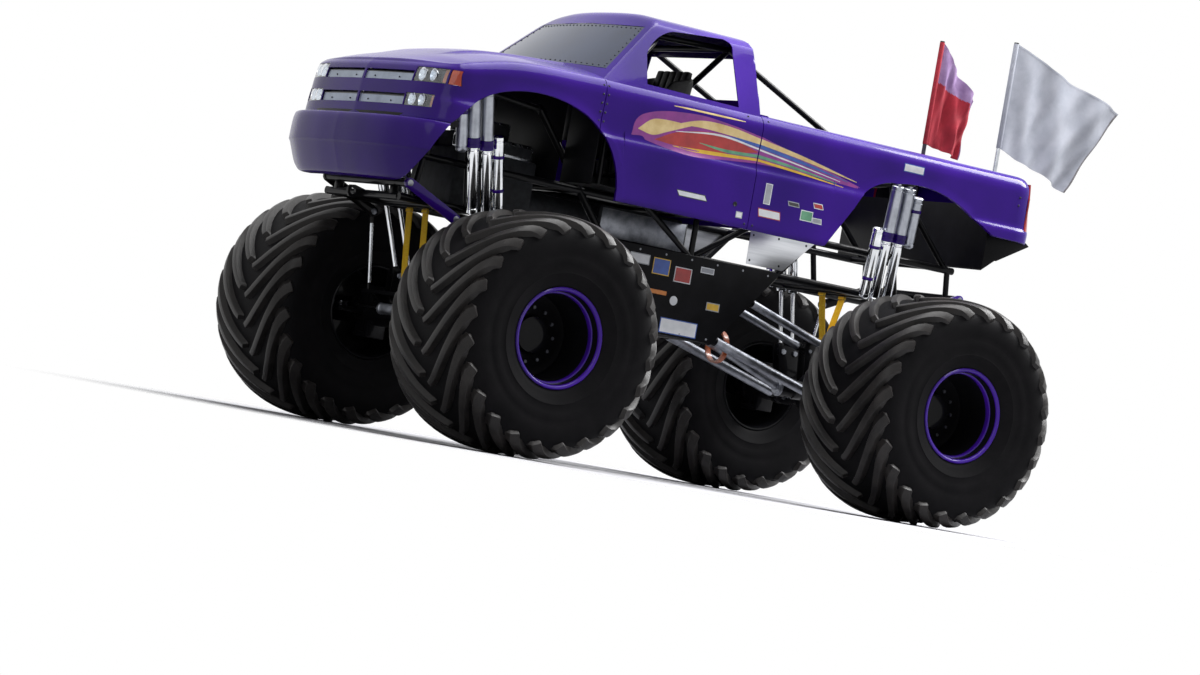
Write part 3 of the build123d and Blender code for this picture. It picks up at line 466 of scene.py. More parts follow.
def addLamps():
    for k, (spot, aim, width, power) in enumerate(stageLook["lamps"]):
        data = bpy.data.lights.new(f"softbox{k}", "AREA")
        data.shape, data.size, data.energy = "DISK", width, power
        lamp = bpy.data.objects.new(f"softbox{k}", data)
        bpy.context.scene.collection.objects.link(lamp)
        lamp.location = spot
        lamp.rotation_euler = (Vector(aim) - Vector(spot)).to_track_quat("-Z", "Y").to_euler()


def addCamera():
    look = cameraLook
    a, e, r = (radians(look[k]) for k in ("azimuth", "elevation", "roll"))
    back = Vector((sin(a) * cos(e), cos(a) * cos(e), sin(e)))
    right = (-back).cross(Vector((0, 0, 1))).normalized()
    up = right.cross(-back)
    right, up = cos(r) * right + sin(r) * up, cos(r) * up - sin(r) * right
    data = bpy.data.cameras.new("view")
    data.sensor_width = look["sensor"]
    data.lens = look["lens"] / look["photoWidth"] * look["sensor"]
    data.clip_end = 400
    camera = bpy.data.objects.new("view", data)
    bpy.context.scene.collection.objects.link(camera)
    aim = Vector([v / 1000 for v in look["aim"]])
    spot = aim + back * look["distance"] + right * look["right"] + up * look["up"]
    camera.matrix_world = Matrix.Translation(spot) @ Matrix((right, up, back)).transposed().to_4x4()
    bpy.context.scene.camera = camera
    bpy.context.scene.view_settings.view_transform = "Standard"


addFloor()
addWorld()
addLamps()
addCamera()
print("stage ready")

# Wheels
ends = (("front", 1), ("rear", -1))
sides = (("left", 1), ("right", -1))
# Shares of a lug's length and pitch; lengths in millimetres, sweep in degrees.
wheelLook = {"wheelbase": 3540, "track": 2480, "axleZ": 837.563, "lugs": 24, "sweep": 37, "stagger": 0.25,
             "lugScale": 0.9988, "lugFoot": -54, "lugDrop": 26, "bolts": 12, "boltRing": 186, "boltY": 64}
# Columns: y from the tyre's middle, radius.
carcassRows = [(0, 797), (160, 796), (288, 790), (380, 778), (440, 758), (474, 728), (491, 690), (497, 645),
               (497, 590), (490, 560), (492, 552), (488, 500), (476, 452), (479, 444), (470, 420),
               (456, 385), (449, 362), (440, 346.5)]
# Columns: share of the way along, y, top radius, share of the sweep, half width.
lugRows = [(0.0, 22, 838, 0.0, 20), (0.18, 110, 838, 0.11, 23), (0.45, 250, 834, 0.36, 25),
           (0.68, 372, 820, 0.65, 28), (0.84, 455, 793, 0.9, 32), (0.92, 494, 756, 1.02, 35),
           (0.97, 511, 716, 1.08, 36), (1.0, 512, 684, 1.11, 31)]
# Columns: share of the way along, lean outwards in radians.
lugLean = [(0, 0), (0.6, 0.12), (0.84, 0.55), (0.93, 1.15), (1.0, 1.5)]
# Columns: half widths across, height below the top; the section closes under the carcass.
lugSection = [(-1.75, -52), (-1.3, -36), (-1.05, -9), (-0.9, -2), (-0.5, 0), (0.5, 0), (0.9, -2),
              (1.05, -9), (1.3, -36), (1.75, -52)]


def lugSpine(t):
    y, top, turn, _ = readAll(lugRows, t)
    angle = radians(turn * wheelLook["sweep"])
    return Vector((-top * sin(angle), y, top * cos(angle)))


def lugPoint(along, around):
    # A lug's skin: along it from the middle to the shoulder, and around its cross-section.
    look, step = wheelLook, 0.002
    t = min(max(along, step), 1 - step)
    here, way = lugSpine(t), (lugSpine(t + step) - lugSpine(t - step)).normalized()
    lean = read(lugLean, t)
    outward = Vector((here.x, 0, here.z)).normalized() * cos(lean)
    outward = (outward + Vector((0, 1, 0)) * sin(lean)).normalized()
    across = way.cross(outward).normalized()
    fullness = min(1.0, 0.55 + 5 * min(t, 1 - t) ** 0.8)  # the ends taper
    wide, deep = lugSection[round(around * (len(lugSection) - 1))]
    if along < 1e-4 or along > 1 - 1e-4:
        deep = look["lugFoot"]  # both ends slope down into the carcass
    drop = (1 - fullness) * look["lugDrop"] if deep > -40 else 0
    half = read(lugRows, t, 4) * (0.75 + 0.25 * fullness)
    return here + across * wide * half + outward * (deep - drop)


def wheelSpot(end, side):
    return Vector((end * wheelLook["wheelbase"] / 2, side * wheelLook["track"] / 2, wheelLook["axleZ"]))


def addTyre(corner, end, side):
    # One pair of lugs, a mirrored one beside it, is spun round the carcass.
    look, hub, origin = wheelLook, wheelSpot(end, side), (0, 0, 0)
    bm, lug = bmesh.new(), bmesh.new()
    carcass = [(-y, r) for y, r in reversed(carcassRows)] + carcassRows[1:]
    addTurned(bm, carcass, hub, (0, 1, 0), 96, closed=True)
    sheetOf(lug, 22, 9, lambda u, v: lugPoint(u, v) - Vector((shiftX, 0, 0)))
    bmesh.ops.holes_fill(lug, edges=[edge for edge in lug.edges if edge.is_boundary], sides=0)
    pitch = full / look["lugs"]
    turns = [Matrix.Rotation(way * look["stagger"] * pitch, 3, "Y") for way in (1, -1)]
    bmesh.ops.rotate(lug, verts=lug.verts[:], cent=origin, matrix=turns[0])
    copied = bmesh.ops.duplicate(lug, geom=lug.verts[:] + lug.edges[:] + lug.faces[:])["geom"]
    mirrored = [g for g in copied if isinstance(g, bmesh.types.BMVert)]
    bmesh.ops.scale(lug, vec=(1, -1, 1), verts=mirrored)
    bmesh.ops.rotate(lug, verts=mirrored, cent=origin, matrix=turns[1])
    bmesh.ops.spin(lug, geom=lug.verts[:] + lug.edges[:] + lug.faces[:], cent=origin, axis=(0, 1, 0),
                   angle=full - pitch, steps=look["lugs"] - 1, use_duplicate=True)
    bmesh.ops.scale(lug, vec=(look["lugScale"],) * 3, verts=lug.verts)
    bmesh.ops.translate(lug, vec=place(hub), verts=lug.verts)
    # The lugs take the lighter rubber: dust and wear, with a painted sunlit highlight.
    for face in lug.faces:
        face.material_index = 1
    joinInto(bm, lug)
    finishPiece("tyreLugged_" + corner, bm, [rubber, lugRubberDustAndPaintedSheen], "tyre_" + corner, smoothAngle=38)


# Slot, then rows of: y outwards from the wheel's middle, radius. Slot 0 is violet, 1 black.
rimParts = [
    (1, [(-440, 344), (-447, 338), (-444, 328), (-425, 322), (-300, 318), (40, 312), (40, 0)]),
    (1, [(-440, 344), (430, 344)]),
    (0, [(430, 344), (446, 344.5), (452, 338), (450, 328), (442, 320), (432, 316)]),
    (1, [(432, 316), (400, 312), (378, 309)]),
    (0, [(378, 309), (374, 301), (362, 297), (344, 297), (334, 301), (330, 305)]),
    (1, [(330, 305), (240, 300), (90, 292), (64, 282), (60, 250), (66, 225), (66, 150), (72, 132),
         (120, 122), (126, 96), (128, 60), (120, 0)])]


def addRim(corner, end, side):
    look, hub, way, bm = wheelLook, wheelSpot(end, side), (0, side, 0), bmesh.new()
    for slot, rows in rimParts:
        addTurned(bm, rows, hub, way, 72, slot)
    bmesh.ops.remove_doubles(bm, verts=bm.verts, dist=1e-5)
    middle = hub + Vector(way) * look["boltY"]
    addBoltRing(bm, middle, way, look["boltRing"], look["bolts"], 30, 18, 2)
    finishPiece("rimDeep_" + corner, bm, [violetGloss, blackGloss, darkSteel], "rim_" + corner)


for endName, end in ends:
    for sideName, side in sides:
        addTyre(endName + "_" + sideName, end, side)
        addRim(endName + "_" + sideName, end, side)
print("wheels ready")

# Body skins: each is a sheet drawn over the body's outer face and thickened inwards.
# Insets and rolls are millimetres; rollFrom is a share of the way up the side.
bodyLook = {"half": 988, "wall": 8, "lip": 24, "seam": 3, "cowl": 1270, "rocker": 1870, "bumperTop": 2147,
            "crease": 2318, "shoulder": 2694, "top": 2698, "noseFrom": 2100, "frontArchEnd": 1056,
            "rearArchEnd": -800, "hoodHalf": 883, "hoodFall": 2.3, "hoodInset": (107, 105), "rollFrom": 0.86,
            "noseRoll": 45, "tailRoll": 50}
# Columns: share of the way round from the nose's middle to the cowl seam, x, y.
nosePath = [(0, 2653, 0), (0.18, 2638, 300), (0.33, 2616, 560), (0.44, 2588, 740), (0.52, 2543, 878),
            (0.58, 2478, 953), (0.61, 2432, 973), (0.65, 2352, 985), (0.72, 2174, 988), (1, 1273, 988)]
# The same from the cab seam round to the tail's middle.
tailPath = [(0, -103, 988), (0.5, -1920, 988), (0.62, -2480, 988), (0.66, -2580, 983), (0.70, -2665, 956),
            (0.74, -2723, 905), (0.78, -2758, 830), (0.82, -2774, 740), (1, -2788, 0)]
# Columns: share of the way up, inset, height where the shoulder is at its full height.
sideRows = [(0, 6, 1868), (0.08, 0, 1900), (0.14, 0, 1960), (0.40, 0, 2230), (0.46, 3, 2285),
            (0.50, 20, 2318), (0.56, 22, 2370), (0.72, 14, 2520), (0.80, 12, 2590), (0.88, 26, 2640),
            (0.94, 60, 2678), (1, 105, 2694)]
# Columns: height, inset of the nose's and of the tail's own face.
noseInsets = [(2147, -20), (2230, -12), (2330, -2), (2440, 14), (2510, 34), (2545, 62)]
tailInsets = [(2206, 4), (2330, 0), (2500, 30), (2640, 62), (2690, 90)]
# Columns: x, height of the shoulder; x, height of the hood's crown.
fenderTops = [(1270, 2698), (1942, 2672), (2333, 2596), (2515, 2530), (2655, 2500)]
hoodCrowns = [(1085, 2800), (1270, 2790), (1942, 2735), (2300, 2655), (2500, 2590), (2600, 2548),
              (2660, 2515)]
# Columns: share of the way round, how far back each column of the hood ends on the middle line.
hoodSpine = [(0, 2540), (0.33, 2440), (0.52, 2330), (0.65, 2180), (1, 1273)]


def arcThrough(a, b, c, count=24):
    # Points along the arc through three places in a plane.
    (ax, ay), (bx, by), (cx, cy) = a, b, c
    twice = 2 * (ax * (by - cy) + bx * (cy - ay) + cx * (ay - by))
    a2, b2, c2 = ax * ax + ay * ay, bx * bx + by * by, cx * cx + cy * cy
    mx = (a2 * (by - cy) + b2 * (cy - ay) + c2 * (ay - by)) / twice
    my = (a2 * (cx - bx) + b2 * (ax - cx) + c2 * (bx - ax)) / twice
    first = atan2(ay - my, ax - mx)
    turns = [(atan2(y - my, x - mx) - first) % full for x, y in (b, c)]
    sweep = turns[1] if turns[0] < turns[1] else turns[1] - full
    radius = hypot(ax - mx, ay - my)
    return [(mx + radius * cos(first + sweep * k / count), my + radius * sin(first + sweep * k / count))
            for k in range(count + 1)]


frontArch = sorted(arcThrough((2420, 2190), (2560, 1990), (2620, 1720))
                   + arcThrough((2420, 2190), (2290, 2330), (2100, 2432))
                   + arcThrough((2100, 2432), (1760, 2480), (1416, 2415))
                   + arcThrough((1416, 2415), (1150, 2200), (1056, 1850)))
rearArch = sorted([(-2900, 2206), (-2332, 2212), (-2070, 2340)]
                  + arcThrough((-2070, 2340), (-1720, 2446), (-1382, 2432))
                  + arcThrough((-1382, 2432), (-1150, 2360), (-1016, 2194)) + [(-800, 1870)])


def lowEdge(x):
    # The body's lower edge: the bumper's seam, the wheel openings and the rocker.
    look = bodyLook
    if x > look["noseFrom"]:
        return max(straight(frontArch, x), look["bumperTop"] + look["seam"])
    if x > look["frontArchEnd"]:
        return straight(frontArch, x)
    return straight(rearArch, x) if x < look["rearArchEnd"] else look["rocker"]


def stretched(z, top):
    # A height of the side's section where the shoulder stands higher or lower.
    crease, shoulder = bodyLook["crease"], bodyLook["shoulder"]
    return z if z <= crease else crease + (z - crease) * (top - crease) / (shoulder - crease)


def shareAt(z, top):
    # The share of the way up at which the side stands at a height.
    return halved(lambda share: stretched(read(sideRows, share, 2), top) < z, 18)


def denser(arch, pitch=12):
    spots = []
    for (x0, z0), (x1, z1) in zip(arch, arch[1:]):
        count = max(1, int(hypot(x1 - x0, z1 - z0) / pitch))
        spots += [(x0 + (x1 - x0) * k / count, z0 + (z1 - z0) * k / count) for k in range(count)]
    return np.array(spots)


archSpots = {1: denser(frontArch), -1: denser(rearArch[2:])}
# The wheel openings stand out a little from the side: how far, over what reach, and where not.
flareLook = {"out": 9, "reach": 75, "top": 2560, "door": (-700, 960), "tail": -2420, "turn": 0.3}


def flareAt(x, z):
    look = flareLook
    if z > look["top"] or look["door"][0] < x < look["door"][1] or x < look["tail"]:
        return 0.0
    spots = archSpots[1 if x > 0 else -1]
    near = sqrt(((spots[:, 0] - x) ** 2 + (spots[:, 1] - z) ** 2).min())
    return look["out"] * max(0.0, 1 - near / look["reach"]) ** 2


def roundPath(path, s, step=0.02):
    # A place on a path seen from above, and the way outwards there.
    here, ahead, behind = (Vector(readAll(path, t)) for t in (s, min(s + step, 1), max(s - step, 0)))
    way = (ahead - behind).normalized()
    outward = Vector((-way.y, way.x))
    return here, outward if outward.dot(here) > 0 else -outward


def hoodZ(x, y):
    # The hood's height: level along its middle, falling to the fenders' tops.
    crown = read(hoodCrowns, x)
    fall = min(1, abs(y) / bodyLook["hoodHalf"]) ** bodyLook["hoodFall"]
    return crown - (crown - read(fenderTops, x)) * fall


def shoulderZ(here, outward):
    # The shoulder's height: the hood's own, read a little inside the path, or the cab's.
    back, across = bodyLook["hoodInset"]
    if here.x <= bodyLook["cowl"]:
        return bodyLook["top"]
    return hoodZ(here.x - abs(outward.x) * back, here.y - abs(outward.y) * across)


def wallPoint(path, ends, s, share):
    # A place on the skin: round the path, and up the side's section.
    look = bodyLook
    here, outward = roundPath(path, abs(s))
    inset, z = readAll(sideRows, share)
    z = stretched(z, shoulderZ(here, outward))
    over = max(0, share - look["rollFrom"]) / (1 - look["rollFrom"])
    roll = look["noseRoll"] * over ** 2 if here.x > 0 else look["tailRoll"] * over
    front = abs(outward.x) ** 1.5
    inset = inset * (1 - front) + (read(ends, z) + roll) * front
    inset -= flareAt(here.x, z) * max(0.0, 1 - front / flareLook["turn"])
    at = here - outward * inset
    return Vector((at.x, -at.y if s < 0 else at.y, z))


def lowerWall(path, ends, s, v, lip, shoulder):
    # The skin from its turned-in lip, below the share lip, up to the share shoulder.
    here, outward = roundPath(path, abs(s))
    first = shareAt(lowEdge(here.x), read(fenderTops, here.x))
    if v >= lip:
        return wallPoint(path, ends, s, first + (1 - first) * (v - lip) / (shoulder - lip))
    inner = bodyLook["lip"] * (1 - v / lip)
    return wallPoint(path, ends, s, first) - Vector((outward.x, copysign(outward.y, s), 0)) * inner


def sidePoint(x, z, side, lift=0.0):
    # The skin beside a place seen from the side.
    top = read(fenderTops, x) if x > bodyLook["cowl"] else bodyLook["top"]
    return Vector((x, side * (bodyLook["half"] - read(sideRows, shareAt(z, top), 1) + lift), z))


def faceOutwards(sheet, middle):
    # Turns the faces away from a place inside the body.
    bmesh.ops.recalc_face_normals(sheet, faces=sheet.faces[:])
    sheet.normal_update()
    centre = place(middle)
    if sum((f.calc_center_median() - centre).dot(f.normal) * f.calc_area() for f in sheet.faces) < 0:
        bmesh.ops.reverse_faces(sheet, faces=sheet.faces[:])


def thicken(sheet, wall):
    # Closes a sheet into a shell: its copy goes inwards, with walls round every edge.
    def keyOf(vert):
        return tuple(round(c, 6) for c in vert.co)
    sheet.normal_update()
    normals = {vert: vert.normal.copy() for vert in sheet.verts}
    for vert, normal in normals.items():
        vert.co -= normal * wall / 1000
    pulled = bmesh.ops.extrude_face_region(sheet, geom=sheet.faces[:], use_keep_orig=True)["geom"]
    outer = [g for g in pulled if isinstance(g, bmesh.types.BMVert) and g not in normals]
    normalAt = {keyOf(vert): normal for vert, normal in normals.items()}
    for vert in outer:
        vert.co += normalAt[keyOf(vert)] * wall / 1000


def addSkin(bm, columns, rows, point, middle, wall, slot=0):
    # A thickened sheet; middle is a place inside the body that it covers.
    sheet = bmesh.new()
    sheetOf(sheet, columns, rows, point, True, slot)
    faceOutwards(sheet, middle)
    thicken(sheet, wall)
    joinInto(bm, sheet)


bumpLook = {"front": 2380, "fade": 260, "half": 430, "edge": 60, "high": 14}


def eased(share):
    share = min(1, max(0, share))
    return share * share * (3 - 2 * share)


def hoodBump(x, y):
    # The hood's raised middle.
    look = bumpLook
    along = eased((look["front"] - x) / look["fade"])
    return look["high"] * along * eased((look["half"] - abs(y)) / look["edge"])


# Front clip. Lip and shoulder are shares of the way up, and the hood takes the rest.
clipLook = {"grid": (300, 110), "lip": 0.04, "shoulder": 0.56, "spread": 0.9, "middle": (2000, 0, 2300),
            "holesFrom": 2330}


def clipPoint(u, v):
    look, way = clipLook, 2 * u - 1
    s = copysign(abs(way) ** look["spread"], way)
    if v < look["shoulder"]:
        return lowerWall(nosePath, noseInsets, s, v, look["lip"], look["shoulder"])
    edge = wallPoint(nosePath, noseInsets, s, 1)
    w = (v - look["shoulder"]) / (1 - look["shoulder"])
    x, y = edge.x + (read(hoodSpine, abs(s)) - edge.x) * w, edge.y * (1 - w)
    z = hoodZ(x, y) + (edge.z - hoodZ(edge.x, edge.y)) * (1 - w) ** 4
    return Vector((x, y, z + hoodBump(x, y)))


axes = (Vector((1, 0, 0)), Vector((0, 1, 0)), Vector((0, 0, 1)))


def cutHole(sheet, edges, inReach):
    # Opens a sheet: it is cut along planes, each an axis and a value, and the faces in reach go.
    def inside(grow):
        return [face for face in sheet.faces
                if inReach(face.calc_center_median() * 1000 - axes[0] * shiftX, grow)]
    faces = inside(20)
    for axis, value in edges:
        geom = {g for face in faces if face.is_valid for g in (face, *face.edges, *face.verts)}
        made = bmesh.ops.bisect_plane(sheet, geom=list(geom), dist=1e-6, plane_co=place(axes[axis] * value),
                                      plane_no=axes[axis])
        faces = [g for g in made["geom"] if isinstance(g, bmesh.types.BMFace)]
    bmesh.ops.delete(sheet, geom=inside(0), context="FACES")


# Openings in the nose, by one half. Columns: low z, high z, inner y, outer y.
noseHoles = {"lamp": [(2405, 2510, 600, 898), (2232, 2322, 570, 850)], "marker": [(2405, 2510, 908, 958)],
             "grille": [(2405, 2478, 14, 590), (2236, 2312, 14, 560)]}


def buildClip():
    look, sheet = clipLook, bmesh.new()
    sheetOf(sheet, *look["grid"], clipPoint, True)
    faceOutwards(sheet, look["middle"])
    for low, high, inner, outer in sum(noseHoles.values(), []):
        for side in (1, -1):
            near, far = sorted((side * inner, side * outer))
            cutHole(sheet, [(2, low), (2, high), (1, near), (1, far)],
                    lambda c, grow: c.x > look["holesFrom"] and near - grow < c.y < far + grow
                    and low - grow < c.z < high + grow)
    thicken(sheet, bodyLook["wall"])
    finishPiece("clipSkin", sheet, [gelCoat], "front_clip", smoothAngle=32)


# Bumper. Columns: share of the way down, inset, height; share of the way round, x, y.
bumperRows = [(0, 110, 2146), (0.06, 50, 2146), (0.13, 20, 2139), (0.2, 6, 2090), (0.42, 0, 1950),
              (0.46, 2, 1940), (0.49, 10, 1928), (0.75, 58, 1805), (0.88, 88, 1742), (0.95, 108, 1722),
              (1, 140, 1712)]
bumperPath = [(0, 2794, 0), (0.24, 2785, 300), (0.45, 2752, 600), (0.62, 2690, 800), (0.72, 2640, 893),
              (0.8, 2585, 950), (0.87, 2520, 978), (1, 2405, 987)]
bumperLook = {"middle": (2300, 0, 1950), "archGap": 2, "lapBack": 112, "lapShift": 12, "lapIn": 46,
              "lapLow": 2130, "lapRise": 46}
archRise = sorted((z, x) for x, z in frontArch if x > bodyLook["noseFrom"])
bumperReach = {}


def bumperAt(share, inset):
    here, outward = roundPath(bumperPath, share)
    return here - outward * inset * (0.6 + 0.4 * abs(outward.x) ** 0.7)


def bumperPoint(u, v):
    inset, z = readAll(bumperRows, v)
    if v not in bumperReach:
        # The ends follow the wheel opening.
        arch = straight(archRise, z) + bumperLook["archGap"]
        bumperReach[v] = halved(lambda share: bumperAt(share, inset).x >= arch, 16)
    at = bumperAt(abs(2 * u - 1) * bumperReach[v], inset)
    return Vector((at.x, copysign(at.y, 2 * u - 1), z))


def seamShadeLapPoint(u, v):
    # A black lap behind the seam between the bumper and the nose: painted shade that darkens the gap.
    look = bumperLook
    here, outward = roundPath(bumperPath, abs(2 * u - 1))
    return Vector((here.x - outward.x * look["lapBack"] - look["lapShift"],
                   copysign(here.y - outward.y * look["lapIn"], 2 * u - 1),
                   look["lapLow"] + look["lapRise"] * v))


def buildBumper():
    bm, middle = bmesh.new(), bumperLook["middle"]
    addSkin(bm, 160, 56, bumperPoint, middle, bodyLook["wall"])
    # The lap in slot 1 is black gloss: painted shade in the seam's gap.
    addSkin(bm, 80, 2, seamShadeLapPoint, middle, 3, 1)
    finishPiece("bumperSkin", bm, [gelCoat, blackGloss], "front_bumper", smoothAngle=32)


# Cab. Columns: share of the way back, x.
cabColumns = [(0, 1267), (0.2, 1140), (0.34, 1062), (0.36, 1052), (1, -97)]
cabLook = {"lip": 0.04, "sideTop": 0.97, "sideMost": 989.5, "foot": 2645, "low": 2640, "acrossFoot": 944,
           "acrossTop": 722, "across": 943, "topZ": 3162, "wallTop": 3210, "rake": 545 / 490, "frontX": 1310,
           "bulge": 150, "bulgeHalf": 950, "rear": -97, "middle": (600, 0, 2300)}
deckLook = {"rear": 1085, "front": 1267, "half": 926, "edge": 2678}
# Columns: distance from the middle line, height of the roof.
roofRows = [(0, 3262), (200, 3260.5), (380, 3254), (500, 3240), (620, 3216), (722, 3162)]
sideWindow = ([(905, 2722), (896, 2850), (888, 2945)]
              + arcThrough((888, 2945), (800, 3060), (640, 3148), 12)[1:] + [(420, 3168), (200, 3186)]
              + arcThrough((200, 3186), (135, 3170), (118, 3110), 8)[1:] + [(100, 2712)])
screenOutline = [(-655, 3142), (0, 3150), (655, 3142), (815, 2772), (420, 2792), (0, 2800), (-420, 2792),
                 (-815, 2772)]
rearWindow = [(-560, 3090), (560, 3090), (640, 2790), (-640, 2790)]


def cabSidePoint(side, u, v):
    look, x = cabLook, straight(cabColumns, u)
    first = shareAt(lowEdge(x), bodyLook["top"])
    share, inner = first, bodyLook["lip"] * (1 - v / look["lip"])
    if v >= look["lip"]:
        share, inner = first + (look["sideTop"] - first) * (v - look["lip"]) / (1 - look["lip"]), 0
    inset, z = readAll(sideRows, share)
    z = stretched(z, bodyLook["top"])
    y = bodyLook["half"] - inset - inner + flareAt(x, z)
    return Vector((x, side * min(y, look["sideMost"]), z))


def deckPoint(u, v):
    # The cowl, from the hood's rear seam under the windscreen.
    look = deckLook
    x, y = look["rear"] + (look["front"] - look["rear"]) * u, (2 * v - 1) * look["half"]
    crown = read(hoodCrowns, x)
    fall = (crown - look["edge"]) * (abs(y) / look["half"]) ** bodyLook["hoodFall"]
    return Vector((x, y, crown - fall + hoodBump(x, y)))


def softLow(a, b, reach):
    # The lower of two, rounded where they meet.
    gap = max(reach - abs(a - b), 0) / reach
    return min(a, b) - gap * gap * reach * 0.25


def screenX(y):
    # The windscreen's foot, bowed forwards.
    return cabLook["frontX"] + cabLook["bulge"] * (1 - (y / cabLook["bulgeHalf"]) ** 2)


def cabHeight(x, y):
    # The roof, the windscreen and the rear wall, each where it is the lowest.
    look, across = cabLook, abs(y)
    fall = (across - look["acrossTop"]) * (look["topZ"] - look["foot"])
    roof = (read(roofRows, across) if across < look["acrossTop"]
            else look["topZ"] - fall / (look["acrossFoot"] - look["acrossTop"]))
    screen = look["foot"] + (screenX(y) - x) / look["rake"]
    back = look["foot"] + (x + 97.6) * 30
    return softLow(softLow(roof, screen, 46), back, 40)


def cabPoint(u, v):
    look, y = cabLook, 2 * v - 1
    y = copysign(abs(y) ** 0.85, y) * look["across"]
    x = look["rear"] + (screenX(y) - 2 - look["rear"]) * max(u, 0) ** 1.15
    return Vector((x, y, max(cabHeight(x, y), look["low"])))


def rearWallPoint(u, v):
    look = cabLook
    z = look["low"] + (look["wallTop"] - look["low"]) * v
    half = look["acrossTop"] - (z - look["topZ"]) * 1.6
    if z < look["topZ"]:
        spread = look["acrossFoot"] - look["acrossTop"]
        half = look["acrossFoot"] - (z - look["foot"]) * spread / (look["topZ"] - look["foot"])
    return Vector((look["rear"] + 1 + (z - look["low"]) * 0.03, (2 * u - 1) * (half - 6), z))


def cutAway(bm, cutters):
    # Boolean cuts with closed prisms, each an outline pulled through an axis.
    whole, tools = asObject(bm, "cut"), []
    for outline, low, high, axis in cutters:
        tool = bmesh.new()
        addPlate(tool, outline, low, high, axis=axis)
        bmesh.ops.recalc_face_normals(tool, faces=tool.faces[:])
        tools.append(asObject(tool, "tool"))
        modifier = whole.modifiers.new("cut", "BOOLEAN")
        modifier.operation, modifier.solver, modifier.object = "DIFFERENCE", "EXACT", tools[-1]
    depsgraph = bpy.context.evaluated_depsgraph_get()
    result = bpy.data.meshes.new_from_object(whole.evaluated_get(depsgraph))
    made = bmesh.new()
    made.from_mesh(result)
    bpy.data.meshes.remove(result)
    for spare in [whole] + tools:
        data = spare.data
        bpy.data.objects.remove(spare)
        bpy.data.meshes.remove(data)
    return made


def buildCab():
    bm, middle, wall = bmesh.new(), cabLook["middle"], bodyLook["wall"]
    for side in (1, -1):
        addSkin(bm, 130, 64, lambda u, v: cabSidePoint(side, u, v), middle, wall)
    addSkin(bm, 12, 60, deckPoint, middle, wall)
    roof, rear = bmesh.new(), bmesh.new()
    addSkin(roof, 110, 130, cabPoint, middle, wall)
    joinInto(bm, cutAway(roof, [(sideWindow, -1100, 1100, "y"), (screenOutline, 600, 1800, "x"),
                                (rearWindow, -300, 60, "x")]))
    addSkin(rear, 30, 14, rearWallPoint, middle, wall)
    joinInto(bm, cutAway(rear, [(rearWindow, -300, 0, "x")]))
    addBlock(bm, (-98, -900, 1960), (-91, 900, 2690), 2)
    finishPiece("cabSkin", bm, [gelCoat], "cab_shell", smoothAngle=32)


# Bed. Lip and shoulder are shares of the way up, and the rail takes the rest.
bedLook = {"grid": (420, 84), "lip": 0.03, "shoulder": 0.85, "middle": (-1500, 0, 2300), "headerHalf": 890}
# Columns: share of the way up, how far over into the bed, height.
railRows = [(0.85, 0, 2694), (0.92, 34, 2697), (0.95, 44, 2692), (0.97, 48, 2670), (1, 50, 2612)]
# Columns: share of the way back, x or z of the strip across the bed's front, turned down at its rear.
headerX = [(0, -103), (0.6, -180), (0.7, -188), (1, -190)]
headerZ = [(0, 2697), (0.6, 2697), (0.7, 2692), (1, 2612)]
tailHole = {"x": -2655, "inner": 822, "outer": 1100, "low": 2302, "high": 2658}


def bedPoint(u, v):
    look, s = bedLook, 2 * u - 1
    if v < look["shoulder"]:
        return lowerWall(tailPath, tailInsets, s, v, look["lip"], look["shoulder"])
    over, z = readAll(railRows, v)
    outward = roundPath(tailPath, abs(s))[1]
    edge = wallPoint(tailPath, tailInsets, s, 1)
    return Vector((edge.x - outward.x * over, edge.y - copysign(outward.y, s) * over, z))


def buildBed():
    look, hole, bm, sheet = bedLook, tailHole, bmesh.new(), bmesh.new()
    sheetOf(sheet, *look["grid"], bedPoint, True)
    faceOutwards(sheet, look["middle"])
    for side in (1, -1):
        near, far = sorted((side * hole["inner"], side * hole["outer"]))
        cutHole(sheet, [(2, hole["low"]), (2, hole["high"]), (1, side * hole["inner"]), (0, hole["x"])],
                lambda c, grow: c.x < hole["x"] + grow and near - grow < c.y < far + grow
                and hole["low"] - grow < c.z < hole["high"] + grow)
    thicken(sheet, bodyLook["wall"])
    joinInto(bm, sheet)
    addSkin(bm, 24, 30, lambda u, v: Vector((straight(headerX, u), (2 * v - 1) * look["headerHalf"],
                                             straight(headerZ, u))), look["middle"], 6)
    finishPiece("bedSkin", bm, [gelCoat], "bed_shell", smoothAngle=32)


buildClip()
buildBumper()
buildCab()
buildBed()
print("body skins ready")

# Chassis, in the part's own numbers
chassis = {"y": 500, "rail": 54, "web": 44, "belly": 1060, "middle": 1620, "upper": 1925, "tower": 2480,
           "pitch": 112, "axleX": 1770, "axleZ": 837.563, "frontTop": 2130, "rearTop": -1640, "gap": 0.3,
           "shockZ": 1120, "shockTopY": 725, "kingpinY": 860, "rodX": 230, "rodRise": 25}
belly, midZ, upper, tower, rail, web = (
    chassis[name] for name in ("belly", "middle", "upper", "tower", "rail", "web"))
# Columns: start x and z, end x and z, diameter.
sideTubes = [
    (-280, belly, 280, belly, rail), (-2490, midZ, 2490, midZ, rail), (-2400, upper, 2400, upper, rail),
    (-280, belly, -1480, 2420, rail), (280, belly, 1480, 2420, rail), (-1480, 2420, -1752, tower, web),
    (1480, 2420, 2242, tower, web), (0, belly, 0, upper, web), (0, midZ, -470, upper, web),
    (0, midZ, 470, upper, web), (-1900, midZ, -1696, tower, web), (1940, midZ, 2074, tower, web),
    (-1752, tower, -2330, upper, web), (2242, tower, 2330, upper, web), (-2390, midZ, -2350, upper, web),
    (2390, midZ, 2350, upper, web)]
# Columns: height, diameter, x of each tube.
crossTubes = [(midZ, rail, (-2470, 2040, 2470)), (belly, rail, (280, -280)),
              (midZ, web, (-1800, -1600, -1250, 1300, 1850, 730, -730)),
              (upper, web, (-2200, -1000, 0, 1000, 2300))]
